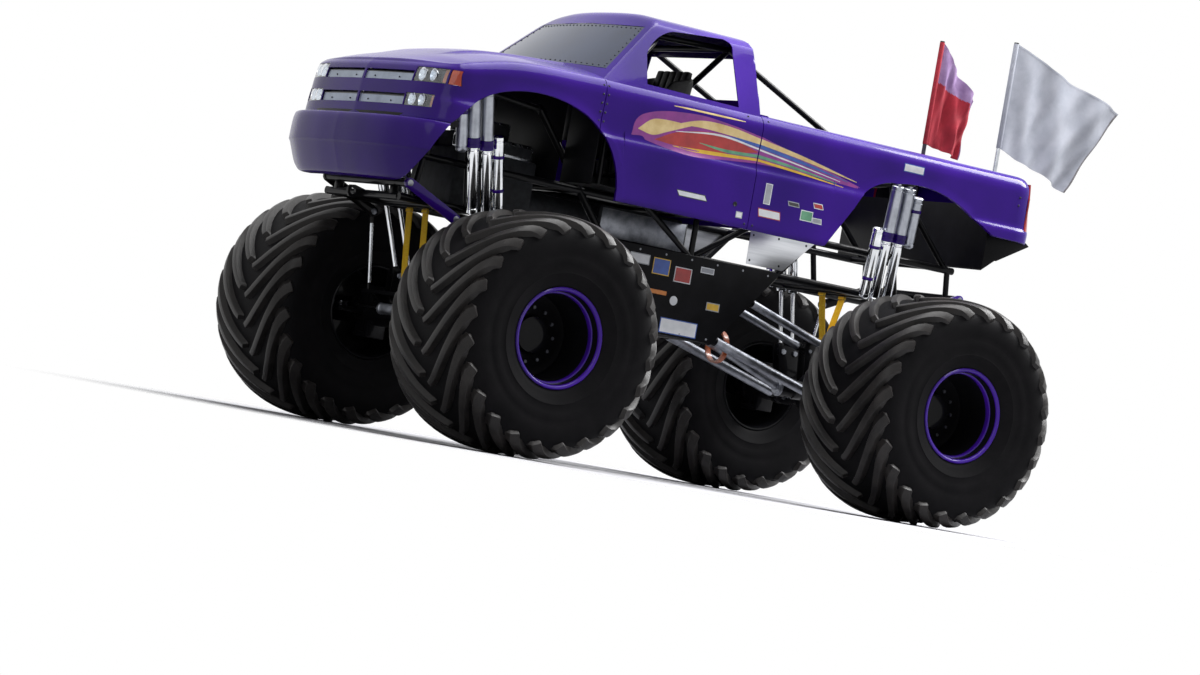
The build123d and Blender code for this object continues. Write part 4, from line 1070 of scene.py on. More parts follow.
# Plates at each end. Columns: x, z of the corners.
lowEar = [(260, 1035), (265, 1080), (400, 1150), (445, 1120), (445, 1050), (400, 1030)]
highEar = [(690, 1625), (770, 1625), (785, 1400), (735, 1375), (695, 1400)]
towTongue = [(2470, 1645), (2470, 1595), (2560, 1575), (2594, 1580), (2610, 1600), (2612, 1640),
             (2594, 1660), (2560, 1665)]
towEye = {"x": 2570, "radius": 22}
shockShares = (-0.5, 0.5)  # the two shocks of a corner stand this share of the pitch either way


def turnedEnd(end, outline):
    return [(end * x, z) for x, z in outline]


def addPipe(bm, route, diameter, bend, sides=18):
    # A bent tube: every inner corner of the route is rounded.
    points = [Vector(route[0])]
    for before, corner, after in zip(route, route[1:], route[2:]):
        middle = Vector(corner)
        first = middle + (Vector(before) - middle).normalized() * bend
        last = middle + (Vector(after) - middle).normalized() * bend
        points += [(1 - t) ** 2 * first + 2 * t * (1 - t) * middle + t * t * last
                   for t in (k / 8 for k in range(9))]
    points.append(Vector(route[-1]))
    across, rings = (points[1] - points[0]).orthogonal().normalized(), []
    for k, spot in enumerate(points):
        ahead = (points[min(k + 1, len(points) - 1)] - points[max(k - 1, 0)]).normalized()
        across = (across - ahead * across.dot(ahead)).normalized()
        other = ahead.cross(across)
        rings.append([spot + (across * cos(full * j / sides) + other * sin(full * j / sides))
                      * diameter / 2 for j in range(sides)])
    verts = sheetOf(bm, len(points) - 1, sides,
                    lambda u, v: rings[round(u * (len(points) - 1))][round(v * sides) % sides], True)
    edges = {edge for vert in verts for edge in vert.link_edges if edge.is_boundary}
    bmesh.ops.holes_fill(bm, edges=list(edges), sides=0)


def addEars(bm, outline, middle, gap, thick=10):
    # A pair of plates, with a gap of this much each way between them.
    for way in (1, -1):
        addPlateAt(bm, outline, middle + way * (gap + thick / 2), thick, 2)


def addPin(bm, x, y, z, reach, size, slot=0):
    # A bolt through a pair of plates, with its head and nut.
    addAcross(bm, (x, y, z), reach, size, 16, slot=slot)
    for way in (1, -1):
        addBolt(bm, (x, y + way * reach, z), (0, way, 0), size * 1.5, 9, slot)


def buildSides():
    look = chassis
    for name, side in sides:
        bm, y = bmesh.new(), side * look["y"]
        for x0, z0, x1, z1, wide in sideTubes:
            addTube(bm, (x0, y, z0), (x1, y, z1), wide, 20)
        for top in (look["frontTop"], look["rearTop"]):
            for share in shockShares:
                at = top + share * look["pitch"]
                addTube(bm, (at, y - side * 10, tower), (at, side * 785, tower), 40, 18)
                addBolt(bm, (at, side * 776, tower), (0, side, 0), 38, 9)
        for x, z in ((280, belly), (-280, belly), (0, midZ), (1480, 2420), (-1480, 2420)):
            # Gusset plates where the tubes meet.
            gusset = [(x - 62, z - 8), (x - 10, z - 34), (x + 40, z - 20), (x + 62, z + 14), (x + 8, z + 40)]
            addPlateAt(bm, gusset, y, 10, 1.5)
        finishPiece("truss_" + name, bm, [blackGloss], "frame_side_" + name)


def buildCrossmembers():
    bm = bmesh.new()
    reach = chassis["y"] - rail / 2 - chassis["gap"]
    for z, wide, row in crossTubes:
        for x in row:
            addAcross(bm, (x, 0, z), reach, wide)
    for end in (1, -1):
        for side in (1, -1):
            addEars(bm, turnedEnd(end, lowEar), side * 300, 42)
            addEars(bm, turnedEnd(end, highEar), side * 200, 36)
            addPin(bm, end * 400, side * 300, 1090, 53, 26)
            addPin(bm, end * 740, side * 200, 1425, 47, 24)
            addBlock(bm, (end * 2440, side * 380 - 20, midZ), (end * 2490, side * 380 + 20, 1689.5), 3)
        plate = bmesh.new()
        addPlateAt(plate, turnedEnd(end, towTongue), 0, 24)
        turns = [full * k / 28 for k in range(28)]
        hole = [(end * (towEye["x"] + towEye["radius"] * cos(a)), midZ + towEye["radius"] * sin(a))
                for a in turns]
        joinInto(bm, cutAway(plate, [(hole, -40, 40, "y")]))
    finishPiece("crossTubing", bm, [blackGloss], "frame_crossmembers")


cageLook = {"tube": 44, "bend": 130, "roof": 3144, "frontDrop": 25, "foot": 1958.6, "half": 840,
            "roofHalf": 590, "braceHalf": 500, "rearX": -20, "frontX": 1120, "roofFront": 650}


def buildCage():
    look, bm = cageLook, bmesh.new()
    tube, roof, foot, half = look["tube"], look["roof"], look["foot"], look["half"]
    rear, front, reach = look["rearX"], look["frontX"], look["braceHalf"]
    roofRear, roofFront = (rear, roof), (look["roofFront"], roof - look["frontDrop"])
    for x, shoulder, (topX, topZ) in ((rear, 2705, roofRear), (front, 2685, roofFront)):
        left = [(x, half, foot), (x, half, shoulder), (topX, look["roofHalf"], topZ)]
        addPipe(bm, left + [(a, -b, c) for a, b, c in reversed(left)], tube, look["bend"])
        for side in (1, -1):
            addTube(bm, (x, side * half, foot), (x, side * half, foot + 8), 110, 20, bevel=1.5)
    for side in (1, -1):
        addTube(bm, (rear, side * reach, roof), (roofFront[0], side * reach, roofFront[1]), tube)
        addTube(bm, (rear, side * half, 2480), (front, side * half, 2250), tube)
        addTube(bm, (rear, side * reach, roof), (-1560, side * reach, 2486), tube)
    addTube(bm, (rear, reach, roof), (rear, -half, 2250), tube)
    finishPiece("rollHoops", bm, [blackGloss], "roll_cage")


# Links. Columns: frame end x and z, axle end x and z, y, half the bush, diameter.
linkRows = [(400, 1090, 1600, 775, 300, 41, 72), (740, 1425, 1700, 1150, 200, 35, 62)]
# Columns: distance from the bush, radius.
linkEnd = [(26, 0), (26, 17), (60, 19), (62, 29), (76, 30), (78, 34), (94, 34), (94, 0)]
dropLink = {"y": 560, "foot": (1970, 990), "top": (2050, 1501)}


def buildLinks():
    bm = bmesh.new()
    for end in (1, -1):
        for side in (1, -1):
            for x0, z0, x1, z1, y, reach, wide in linkRows:
                near, far = Vector((end * x0, side * y, z0)), Vector((end * x1, side * y, z1))
                way = (far - near).normalized()
                addTube(bm, near + way * 92, far - way * 92, wide, 24, bevel=2)
                for spot, turn in ((near, way), (far, -way)):
                    addTurned(bm, linkEnd, spot, turn, 20, 1)
                    addAcross(bm, spot, reach * 0.62, wide + 8, 26, slot=1, bevel=5)
                    addAcross(bm, spot, reach, wide * 0.62, 20, slot=2, bevel=2)
            foot, top = (Vector((end * x, side * dropLink["y"], z))
                         for x, z in (dropLink["foot"], dropLink["top"]))
            addTube(bm, foot, top, 27, 18, slot=2)
            lean = (top - foot).normalized() * 46
            for spot, step in ((foot, lean), (top, -lean)):
                addTube(bm, spot, spot + step, 32, 6, slot=1)
    finishPiece("linkTubing", bm, [steel, blackGloss, poleBright], "link_bars")


# Shocks. The ring, where sleeve and body meet, stands this far below the top.
shockLook = {"ringBelow": 420, "headBelow": 38, "body": 500, "lowX": {1: 1745, -1: -1735}, "bottleAside": 94}
# Columns: distance from the ring, or from the head, radius.
sleeveFoot = [(35, 43), (36, 46)]
sleeveHead = [(-34, 46), (-32, 43.5), (-24, 43.5), (-22, 46.5), (-4, 46.5), (0, 42)]
ringRows = [(-35, 47), (-33, 50.5), (-8, 50.5), (-6, 47.5), (6, 47.5), (8, 50.5), (33, 50.5), (35, 47)]
shockBody = [(-500, 33), (-497, 39.5), (-470, 39.5), (-466, 36.5), (-456, 36.5), (-452, 39), (-60, 39),
             (-56, 36), (-48, 36), (-44, 39.5), (-35, 39.5)]
bottleFoot = [(0, 24), (8, 36), (16, 41), (34, 41), (36, 38), (44, 38), (46, 41)]
bottleHead = [(-46, 41), (-44, 38), (-36, 38), (-34, 41), (-12, 41), (-2, 30), (0, 12)]


def shockSpots():
    # Foot, top, end and share of the pitch of all eight shocks.
    look = chassis
    spots = []
    for end, topX in ((1, look["frontTop"]), (-1, look["rearTop"])):
        for side in (1, -1):
            for share in shockShares:
                shift = end * share * look["pitch"]
                spots.append((Vector((shockLook["lowX"][end] + shift, side * look["y"], look["shockZ"])),
                              Vector((topX + shift, side * look["shockTopY"], tower)), end, share))
    return spots


def moved(rows, along):
    return [(along + a, radius) for a, radius in rows]


def addStack(bm, start, way, profile, slot=0):
    # A turned part with flat closed ends.
    addTurned(bm, [(profile[0][0], 0)] + profile + [(profile[-1][0], 0)], start, way, 28, slot)


def buildShocks():
    sleeves, tubes, rings = bmesh.new(), bmesh.new(), bmesh.new()
    look = shockLook
    for low, top, end, share in shockSpots():
        way, length = (top - low).normalized(), (top - low).length
        square = (Vector((1, 0, 0)) - way * way.x).normalized()
        ringAt, head = length - look["ringBelow"], length - look["headBelow"]
        addStack(sleeves, low, way, moved(sleeveFoot, ringAt) + moved(sleeveHead, head))
        addStack(sleeves, low, way, [(head - 2, 20), (head + 16, 20)])
        addStack(rings, low, way, moved(ringRows, ringAt))
        addStack(tubes, low, way, moved(shockBody, ringAt))
        addStack(tubes, low, way, [(36, 17), (ringAt - look["body"], 17)])
        addStack(tubes, low, way, [(22, 22), (26, 27), (58, 27), (66, 20)], 1)
        addAcross(tubes, low, 29, 60, 24, slot=1, bevel=4)
        # The reservoir stands beside the shock: high up on one, low down on the other.
        high = share > 0
        beside = low + square * end * (1 if high else -1) * look["bottleAside"]
        target, first, last = (sleeves, -60, 330) if high else (tubes, -480, 60)
        a, b = ringAt + first, ringAt + last
        addStack(target, beside, way, moved(bottleFoot, a) + moved(bottleHead, b))
        for part in (0.28, 0.72):
            at = a + (b - a) * part
            if ringAt - look["body"] < at < head and abs(at - ringAt) > 60:
                addStack(rings, beside, way, moved([(-12, 41.5), (-11, 42), (11, 42), (12, 41.5)], at))
    finishPiece("shockSleeves", sleeves, [sleeveGrey], "shock_sleeves")
    finishPiece("shockBodies", tubes, [chrome, blackGloss], "shock_tubes")
    finishPiece("shockClamps", rings, [violetGloss], "shock_rings")


antirollLook = {"pivot": (2460, 1720), "tip": (2050, 1540), "armHalf": 36, "armY": 560, "bushY": 380}


def buildAntiroll():
    look, bars, arms = antirollLook, bmesh.new(), bmesh.new()
    pivot, tip = (Vector((x, 0, z)) for x, z in (look["pivot"], look["tip"]))
    along = (tip - pivot).normalized()
    normal, armY = Vector((-along.z, 0, along.x)), look["armY"]
    outline = []
    for centre, first in ((pivot, 90), (tip, -90)):
        for k in range(9):
            a = radians(first + 180 * k / 8)
            spot = centre + (along * cos(a) + normal * sin(a)) * look["armHalf"]
            outline.append((spot.x, spot.z))
    for end in (1, -1):
        for side, target in ((1, arms), (-1, bars)):
            addPlateAt(target, turnedEnd(end, outline), side * armY, 34, 4)
            for spot in (pivot, tip):
                addAcross(target, (end * spot.x, side * armY, spot.z), 18, 46, 22, slot=1, bevel=2)
        addTube(bars, (end * pivot.x, -armY, pivot.z), (end * pivot.x, armY - 19, pivot.z), 60, 24)
        for y in (-look["bushY"], look["bushY"]):
            addAcross(bars, (end * pivot.x, y, pivot.z), 26, 62, 24)
    finishPiece("antirollTubes", bars, [blackGloss, steel], "antiroll_bars")
    finishPiece("antirollArms", arms, [violetGloss, steel], "antiroll_arms")


# Axles. Columns: distance along the housing or the pinion's nose, radius.
housingHalf = [(34, 166), (40, 172), (118, 172), (132, 166), (150, 128), (214, 96), (290, 95), (296, 100),
               (318, 100), (330, 95), (742, 95), (742, 0)]
housingRows = [(-a, radius) for a, radius in reversed(housingHalf)] + housingHalf
pinionRows = [(110, 0), (110, 74), (240, 72), (250, 75), (300, 75), (306, 66), (370, 58), (376, 70),
              (420, 70), (420, 0)]
ramEnd = [(0, 38), (6, 42), (34, 42), (38, 39), (60, 39), (60, 0)]
shelfTop = 987  # the link shelf's height above the floor


def buildAxles():
    look = chassis
    shelf = shelfTop - look["axleZ"]
    for name, end in ends:
        lowX = end * shockLook["lowX"][end] - look["axleX"]
        bm, middle = bmesh.new(), Vector((end * look["axleX"], 0, look["axleZ"]))

        def at(x, y, z):
            return middle + Vector((end * x, y, z))

        def outlineOf(points):
            return [(middle.x + end * x, middle.z + z) for x, z in points]
        addTurned(bm, housingRows, middle, (0, 1, 0), 36)
        addTurned(bm, pinionRows, middle, (-end, 0, 0), 32)
        addBoltRing(bm, at(-296, 0, 0), (-end, 0, 0), 66, 10, 14, 10, 1)
        shockEar = outlineOf([(-80, 30), (80, 30), (lowX + 105, 330), (lowX - 105, 330)])
        lower = outlineOf([(40, -70), (-70, 70), (-205, -20), (-205, -105), (-130, -115)])
        upperEar = outlineOf([(-80, 60), (70, 60), (-20, 400), (-120, 400)])
        gusset = outlineOf([(30, 60), (70, -20), (240, shelf - 25), (150, shelf - 10)])
        for side in (1, -1):
            addBlock(bm, at(-75, side * 698, -188), at(75, side * 750, 188), 8)
            for way in (1, -1):
                # The kingpin's jaws, above and below.
                addBlock(bm, at(-70, side * 740, way * 150), at(70, side * 922, way * 188), 12)
                addBolt(bm, at(0, side * look["kingpinY"], way * 184), (0, 0, way), 70, 4, 1)
            for outline, y, gap in ((shockEar, 500, 31), (lower, 300, 42), (upperEar, 200, 36)):
                addEars(bm, outline, side * y, gap)
            addPlateAt(bm, gusset, side * 420, 12, 2)
            for share in shockShares:
                addPin(bm, middle.x + end * (lowX + share * look["pitch"]), side * look["y"], look["shockZ"],
                       47, 32, 1)
            addPin(bm, middle.x - end * 170, side * 300, 775, 53, 26, 1)
            addPin(bm, middle.x - end * 70, side * 200, 1150, 47, 24, 1)
            addBlock(bm, at(60, side * 220, -15), at(look["rodX"], side * 250, 60), 3)
            addTurned(bm, ramEnd, at(look["rodX"], side * 300, look["rodRise"]), (0, -side, 0), 24, 1)
        addBlock(bm, at(150, -590, shelf - 25), at(240, 590, shelf), 3)
        addBlock(bm, at(-110, -206, 375), at(-30, 206, 400), 3)
        addAcross(bm, at(look["rodX"], 0, look["rodRise"]), 296, 78, 26, slot=1)
        finishPiece("axleHousing_" + name, bm, [blackGloss, steel], "axle_" + name)


# Columns: distance out from the kingpin, radius.
spindleRows = [(40, 0), (40, 95), (110, 95), (124, 88), (150, 80), (240, 80), (262, 94), (290, 95),
               (296, 88), (394, 88), (398, 95), (423, 95), (423, 0)]


def buildKnuckles():
    look = chassis
    for name, end in ends:
        for sideName, side in sides:
            bm = bmesh.new()
            spot = Vector((end * look["axleX"], side * look["kingpinY"], look["axleZ"]))
            stud = spot + Vector((end * look["rodX"], 0, 0))
            addBlock(bm, spot - Vector((55, 58, 149)), spot + Vector((55, 55, 149)), 10)
            addTurned(bm, spindleRows, spot, (0, side, 0), 32)
            addBoltRing(bm, spot + Vector((0, side * 264, 0)), (0, -side, 0), 78, 10, 15, 8, 1)
            addBlock(bm, spot + Vector((end * 40, -30, -24)), spot + Vector((end * 258, 30, 10)), 6)
            addTube(bm, stud, stud + Vector((0, 0, 44)), 24, 18, slot=1)
            addBolt(bm, stud - Vector((0, 0, 24)), (0, 0, -1), 30, 1, 1)
            corner = name + "_" + sideName
            finishPiece("knuckle_" + corner + "_cast", bm, [blackGloss, steel], "knuckle_" + corner)


def buildRods():
    look = chassis
    eyeRows = [(-12, 28), (-12, 43), (-9, 45), (9, 45), (12, 43), (12, 28)]
    for name, end in ends:
        bm, x, z = bmesh.new(), end * (look["axleX"] + look["rodX"]), look["axleZ"] + look["rodRise"]
        addAcross(bm, (x, 0, z), 822, 36, 26)
        for side in (1, -1):
            addTurned(bm, eyeRows, (x, side * look["kingpinY"], z), (0, 0, 1), 30, 1, closed=True)
            addTube(bm, (x, side * 760, z), (x, side * 818, z), 44, 6, slot=1)
        finishPiece("tieRod_" + name, bm, [chrome, blackGloss], "steering_rod_" + name)


driveLook = {"caseFront": 180, "caseRear": -170, "sideHalf": 190, "shaftZ": 1240, "axleEnd": 1349.7,
             "loopX": 730, "loopZ": 1045, "gearFront": 620}
gearboxRows = [(0, 0), (0, 118), (30, 118), (36, 106), (360, 112), (520, 121), (560, 123), (669, 123),
               (669, 0)]


def flangeRows(radius, neck, foot):
    return [(0, 0), (0, radius), (10, radius), (14, neck), (30, foot), (30, 0)]


def buildDrive():
    look, gap, bm = driveLook, chassis["gap"], bmesh.new()
    front, rear, half = look["caseFront"], look["caseRear"], look["sideHalf"]
    low = midZ + web / 2 + gap
    addBlock(bm, (rear, -half, 1150), (front, half, low - 1), 14, 1)
    for z in (1230, 1390, 1550):
        addBlock(bm, (rear + 4, 4 - half, z - 6), (front - 4, half - 4, z + 6), 2, 1)
    addBlock(bm, (rear, -170, low), (look["gearFront"], 170, 1890), 22, 1)
    addTurned(bm, gearboxRows, (look["gearFront"], 0, 1767), (1, 0, 0), 36, 1)
    for end, face in ((1, front + gap), (-1, rear - gap)):
        start, last = Vector((face, 0, look["shaftZ"])), Vector((end * look["axleEnd"], 0, chassis["axleZ"]))
        way, length = (last - start).normalized(), (last - start).length
        addTurned(bm, flangeRows(74, 60, 56), start, (end, 0, 0), 28)
        addTurned(bm, flangeRows(69, 56, 50), last, (-end, 0, 0), 28)
        addTurned(bm, [(12, 0), (12, 34), (60, 38), (70, 40), (length * 0.55, 40), (length * 0.56, 34),
                       (length - 70, 34), (length - 60, 38), (length - 12, 34), (length - 12, 0)],
                  start, way, 28)
    finishPiece("driveShafts", bm, [steel, castIron], "driveline")
    loops = bmesh.new()
    for at in (look["loopX"], -look["loopX"]):
        addTurned(loops, [(-20, 108), (-20, 124), (20, 124), (20, 108)], (at, 0, look["loopZ"]), (1, 0, 0),
                  40, closed=True)
        addBlock(loops, (at - 18, -16, 1155), (at + 18, 16, 1597), 2)
    finishPiece("shaftHoops", loops, [orangePaint], "shaft_loops")
    engine = bmesh.new()
    addBlock(engine, (1290, -290, low), (1960, 290, 2060), 18)
    for side in (1, -1):
        addBlock(engine, (1330, side * 130, 2050), (1930, side * 286, 2170), 26, 2)
        for x in range(1390, 1841, 150):
            addTube(engine, (x, side * 200, 1980), (x, side * 286, 1930), 54, 18, slot=1)
    addBlock(engine, (1370, -120, 2060), (1890, 120, 2180), 12)
    addBlock(engine, (1440, -105, 2180), (1820, 105, 2302), 16, 2)
    finishPiece("engineDressed", engine, [castIron, steel, poleBright], "engine_block")


buildSides()
buildCrossmembers()
buildCage()
buildLinks()
buildShocks()
buildAntiroll()
buildAxles()
buildKnuckles()
buildRods()
buildDrive()
print("chassis ready")

# Nose, lamps and glass
lampBlack = surface("dark lamp housing", ("#15171B", "#2A2E35"), (0.25, 0.4), 0.0, 50, coat=0.4)
insertAlloy = surface("dull aluminium insert", ("#8C97A8", "#B4BFD0"), (0.3, 0.45), 0.35, 160, 0.05, 3)
rivetDark = surface("blackened fastener", ("#16161A", "#2B2B30"), (0.35, 0.5), 0.8, 30)
amberLens = surface("amber lens strip", ("#A34A12", "#C96A1E"), (0.12, 0.2), 0.0, 40, coat=1.0)

# Columns: distance forwards, share of the bowl's radius.
bowlRows = [(2, 0.3), (4, 0.36), (16, 0.72), (28, 1), (30, 1), (30, 0.94), (18, 0.66), (8, 0.3), (8, 0)]
bulbRows = [(6, 0), (6, 9), (15, 7), (19, 0)]
noseLook = {"lampDeep": 34, "bowls": ((0.24, 47), (0.6, 44)), "flutes": 5, "grilleDeep": 30,
            "bolts": (0.2, 0.72), "rounds": 11, "mostShare": 0.65}


def noseX(y, z):
    # Where the nose's skin stands, straight ahead of a place.
    low, high = 0.0, noseLook["mostShare"]
    for _ in range(noseLook["rounds"]):
        middle = (low + high) / 2
        share = shareAt(z, shoulderZ(*roundPath(nosePath, middle)))
        spot = wallPoint(nosePath, noseInsets, middle, share)
        low, high = (middle, high) if spot.y < abs(y) else (low, middle)
    return spot.x - 2


def nosePatch(bm, y0, y1, z0, z1, deep, thick, slot=0, columns=18, rows=4):
    # A sheet that follows the nose, set back from its skin.
    def point(u, v):
        y, z = y0 + (y1 - y0) * u, z0 + (z1 - z0) * v
        return Vector((noseX(y, z) - deep, y, z))
    addSkin(bm, columns, rows, point, (1800, (y0 + y1) / 2, (z0 + z1) / 2), thick, slot)


def addHeadlamp(bm, side, low, high, inner, outer):
    # A dark housing with its rim, two bowls with bulbs, flutes, an amber strip and the lens.
    look = noseLook
    y0, y1, middle = side * (inner + 2), side * (outer - 2), (low + high) / 2
    nosePatch(bm, y0, y1, low + 2, high - 2, look["lampDeep"], 3, 1)
    for edge0, edge1, z0, z1 in ((y0, y1, low + 1, low + 4), (y0, y1, high - 4, high - 1),
                                 (y0, y0 + side * 3, low + 1, high - 1),
                                 (y1 - side * 3, y1, low + 1, high - 1)):
        nosePatch(bm, edge0, edge1, z0, z1, 2, 32, 1, 10, 2)
    for share, size in look["bowls"]:
        y = y0 + (y1 - y0) * share
        x = noseX(y, middle) - look["lampDeep"]
        addTurned(bm, [(a, size * part) for a, part in bowlRows], (x - 2, y, middle), (1, 0, 0.05), 28, 2)
        addTurned(bm, bulbRows, (x, y, middle), (1, 0, 0), 18, 3)
    for k in range(look["flutes"]):
        y = y0 + (y1 - y0) * (0.86 + 0.024 * k)
        nosePatch(bm, y, y + side * 3, low + 8, high - 8, 24, 6, 2, 1, 6)
    nosePatch(bm, y0 + (y1 - y0) * 0.9, y1 - side * 4, low + 5, high - 5, 9, 3, 4, 4, 4)
    nosePatch(bm, y0, y1 - side * 2, low + 2, high - 2, 3, 2, 0)


def addGrille(bm, side, low, high, inner, outer):
    # A black backing, the insert with a dark strip along its top as painted shadow under the nose's edge,
    # and two bolts.
    y0, y1 = side * inner, side * (outer - 2)
    nosePatch(bm, y0, y1, low - 12, high + 22, noseLook["grilleDeep"], 3, 1, 24)
    nosePatch(bm, y0 + side * 4, y1 - side * 6, low + 2, high - 18, 10, 4, 0, 24)
    # This dark strip along the insert's top is painted shadow.
    nosePatch(bm, y0 + side * 4, y1 - side * 6, high - 20, high - 16, 8, 10, 1, 24, 1)
    for share in noseLook["bolts"]:
        y, z = y0 + (y1 - y0) * share, low + 22
        addBolt(bm, (noseX(y, z) - 10, y, z), (1, 0, 0), 13, 5, 2)


def buildNose():
    lamps, grille, markers = bmesh.new(), bmesh.new(), bmesh.new()
    for side in (1, -1):
        for hole in noseHoles["lamp"]:
            addHeadlamp(lamps, side, *hole)
        for low, high, inner, outer in noseHoles["marker"]:
            nosePatch(markers, side * (inner + 2), side * (outer - 2), low + 2, high - 2, 2, 18, 0, 8, 6)
        for hole in noseHoles["grille"]:
            addGrille(grille, side, *hole)
    for low, high, _, _ in noseHoles["grille"]:
        # The middle of the insert, behind the nose's central bar.
        nosePatch(grille, -13, 13, low + 3, high - 17, 20, 4, 0, 2)
    finishPiece("headlampUnits", lamps, [lampGlass, lampBlack, chrome, clearBulb, amberLens], "headlamps")
    finishPiece("markerLenses", markers, [lensOrange], "marker_lamps")
    finishPiece("grilleInserts", grille, [insertAlloy, lampBlack, rivetDark], "grille")


# Tail lamps fill their holes with 2 mm to spare. Columns: height, inset beside the bed.
tailLampRows = [(2300, 16), (2330, 21), (2400, 21), (2520, 14), (2660, 30)]
tailLampLook = {"gap": 2, "shares": (0.685, 0.805), "middle": (-2300, 500, 2480), "stripZ": (2420, 2540),
                "strip": 10}


def tailPoint(side, u, v, lift):
    # The tail lamp's face, from the body's side round its corner.
    hole, gap = tailHole, tailLampLook["gap"]
    first, last = tailLampLook["shares"]
    low, high = hole["low"] + gap, hole["high"] - gap
    z = low + (high - low) * v
    here, outward = roundPath(tailPath, first + (last - first) * u)
    front = abs(outward.x) ** 1.5
    inset = read(tailLampRows, z) * (1 - front) + read(tailInsets, z) * front
    at = here - outward * (inset + gap - lift)
    return Vector((min(at.x, hole["x"] - gap), side * max(at.y, hole["inner"] + gap), z))


def buildTailLamps():
    look, bm = tailLampLook, bmesh.new()
    x, y, z = look["middle"]
    low, high = tailHole["low"] + look["gap"], tailHole["high"] - look["gap"]
    for side in (1, -1):
        middle = (x, side * y, z)
        addSkin(bm, 20, 30, lambda u, v: tailPoint(side, u, v, 0), middle, 14)
        addSkin(bm, 20, 30, lambda u, v: tailPoint(side, u, v, -15), middle, 4, 2)
        for start in look["stripZ"]:
            def stripPoint(u, v):
                return tailPoint(side, u, (start - low + look["strip"] * v) / (high - low), 2.5)
            addSkin(bm, 20, 2, stripPoint, middle, 4, 1)
    finishPiece("tailLenses", bm, [lensRed, amberLens, blackSatin], "tail_lamps")


screenLook = {"lowZ": 2776, "highZ": 3139, "lowBow": 22, "highBow": 7, "lowHalf": 813, "highHalf": 653,
              "footZ": 2772, "tall": 370, "rivets": 27, "sideRivets": 9}
screenRivet = [(0, 7), (2, 6.5), (4, 4), (5, 0)]


def screenPoint(u, v):
    # The sheet in its frame: its lower edge bows up more than its upper one.
    look, across = screenLook, 2 * u - 1
    bow = (1 - across ** 2) * (look["lowBow"] * (1 - v) + look["highBow"] * v)
    z = look["lowZ"] + (look["highZ"] - look["lowZ"]) * v + bow
    half = look["lowHalf"] + (look["highHalf"] - look["lowHalf"]) * (z - look["footZ"]) / look["tall"]
    y = across * (half - 2)
    return Vector((screenX(y) - (z - cabLook["foot"]) * cabLook["rake"] - 4, y, z))


def buildScreen():
    look, bm = screenLook, bmesh.new()
    addSkin(bm, 60, 16, screenPoint, (300, 0, 2500), 5)
    spots = [((k + 0.5) / look["rivets"], v) for k in range(look["rivets"]) for v in (0.045, 0.955)]
    spots += [(u, 0.1 + 0.8 * k / (look["sideRivets"] - 1)) for k in range(look["sideRivets"])
              for u in (0.018, 0.982)]
    for u, v in spots:
        addTurned(bm, screenRivet, screenPoint(u, v), (0.66, 0, 0.75), 10, 1)
    finishPiece("screenSheet", bm, [screenTint, rivetDark], "windscreen")


# Panels
plateFilms = ["white", "blue", "yellow", "red", "grey", "orange"]
# Columns: x and z of the middle, width, height, films of the field and of its border.
stickers = [
    (20, 1105, 330, 110, "white", "blue"), (452, 1540, 176, 74, "white", "grey"),
    (255, 1512, 150, 118, "blue", "yellow"), (58, 1482, 150, 110, "red", "white"),
    (-250, 1300, 118, 60, "yellow", "grey"), (270, 1330, 196, 30, "orange", "orange"),
    (-150, 1550, 120, 44, "grey", "white")]
panelLook = {"y": 527.4, "thick": 3, "belly": [(-295, 1035), (295, 1035), (800, 1635), (-800, 1635)],
             "alloy": [(-475, 1660), (-810, 1660), (-1060, 1905), (-470, 1905)],
             "alloyBolts": [(-500, 1875), (-500, 1690), (-770, 1690), (-985, 1878), (-730, 1885)],
             "bellyBolts": [(x, 1605) for x in range(-690, 691, 230)] + [(x, 1062) for x in (-240, 0, 240)],
             "disc": (100, 1290)}
# The cab's floor and firewall leave room for the frame's rails. All y values are by one half.
sheetLook = {"across": 981.7, "floor": 1952.3, "thick": 6, "rear": -90, "front": 1240, "railIn": 467.7,
             "railOut": 532.3, "bedFront": -2352, "bedLip": 2205.7}


def headRows(radius):
    # A flat round head that stands 0.9 mm proud.
    return [(0, radius), (0.6, radius - 0.5), (0.9, 0)]


def buildPanels():
    look, plates, alloy = panelLook, bmesh.new(), bmesh.new()
    for side in (1, -1):
        near, face, way = side * look["y"], side * (look["y"] + look["thick"]), (0, side, 0)
        addPlate(plates, look["belly"], near, face, 1)
        addPlate(alloy, look["alloy"], near, face, 1)
        for x, z in look["alloyBolts"]:
            addTurned(alloy, headRows(9), (x, face, z), way, 14, 1)
        for x, z in look["bellyBolts"]:
            addTurned(plates, headRows(8), (x, face, z), way, 12, 5)
        for x, z, wide, tall, field, border in stickers:
            for grow, deep, film in ((0, 0.35, border), (-7, 0.6, field)):
                w, h = wide / 2 + grow, tall / 2 + grow
                corners = [(side * x + a * w, z + b * h) for a, b in ((-1, -1), (1, -1), (1, 1), (-1, 1))]
                addPlate(plates, corners, face, face + side * deep, 0, 1 + plateFilms.index(film))
        addTurned(plates, [(0, 34), (0.5, 33), (0.6, 0)], (side * look["disc"][0], face, look["disc"][1]),
                  way, 30, 1)
    films = [filmFinish[name] for name in plateFilms]
    finishPiece("bellySkins", plates, [blackSatin] + films, "belly_plates")
    finishPiece("alloySkins", alloy, [sheetAlloy, rivetDark], "alloy_panels")


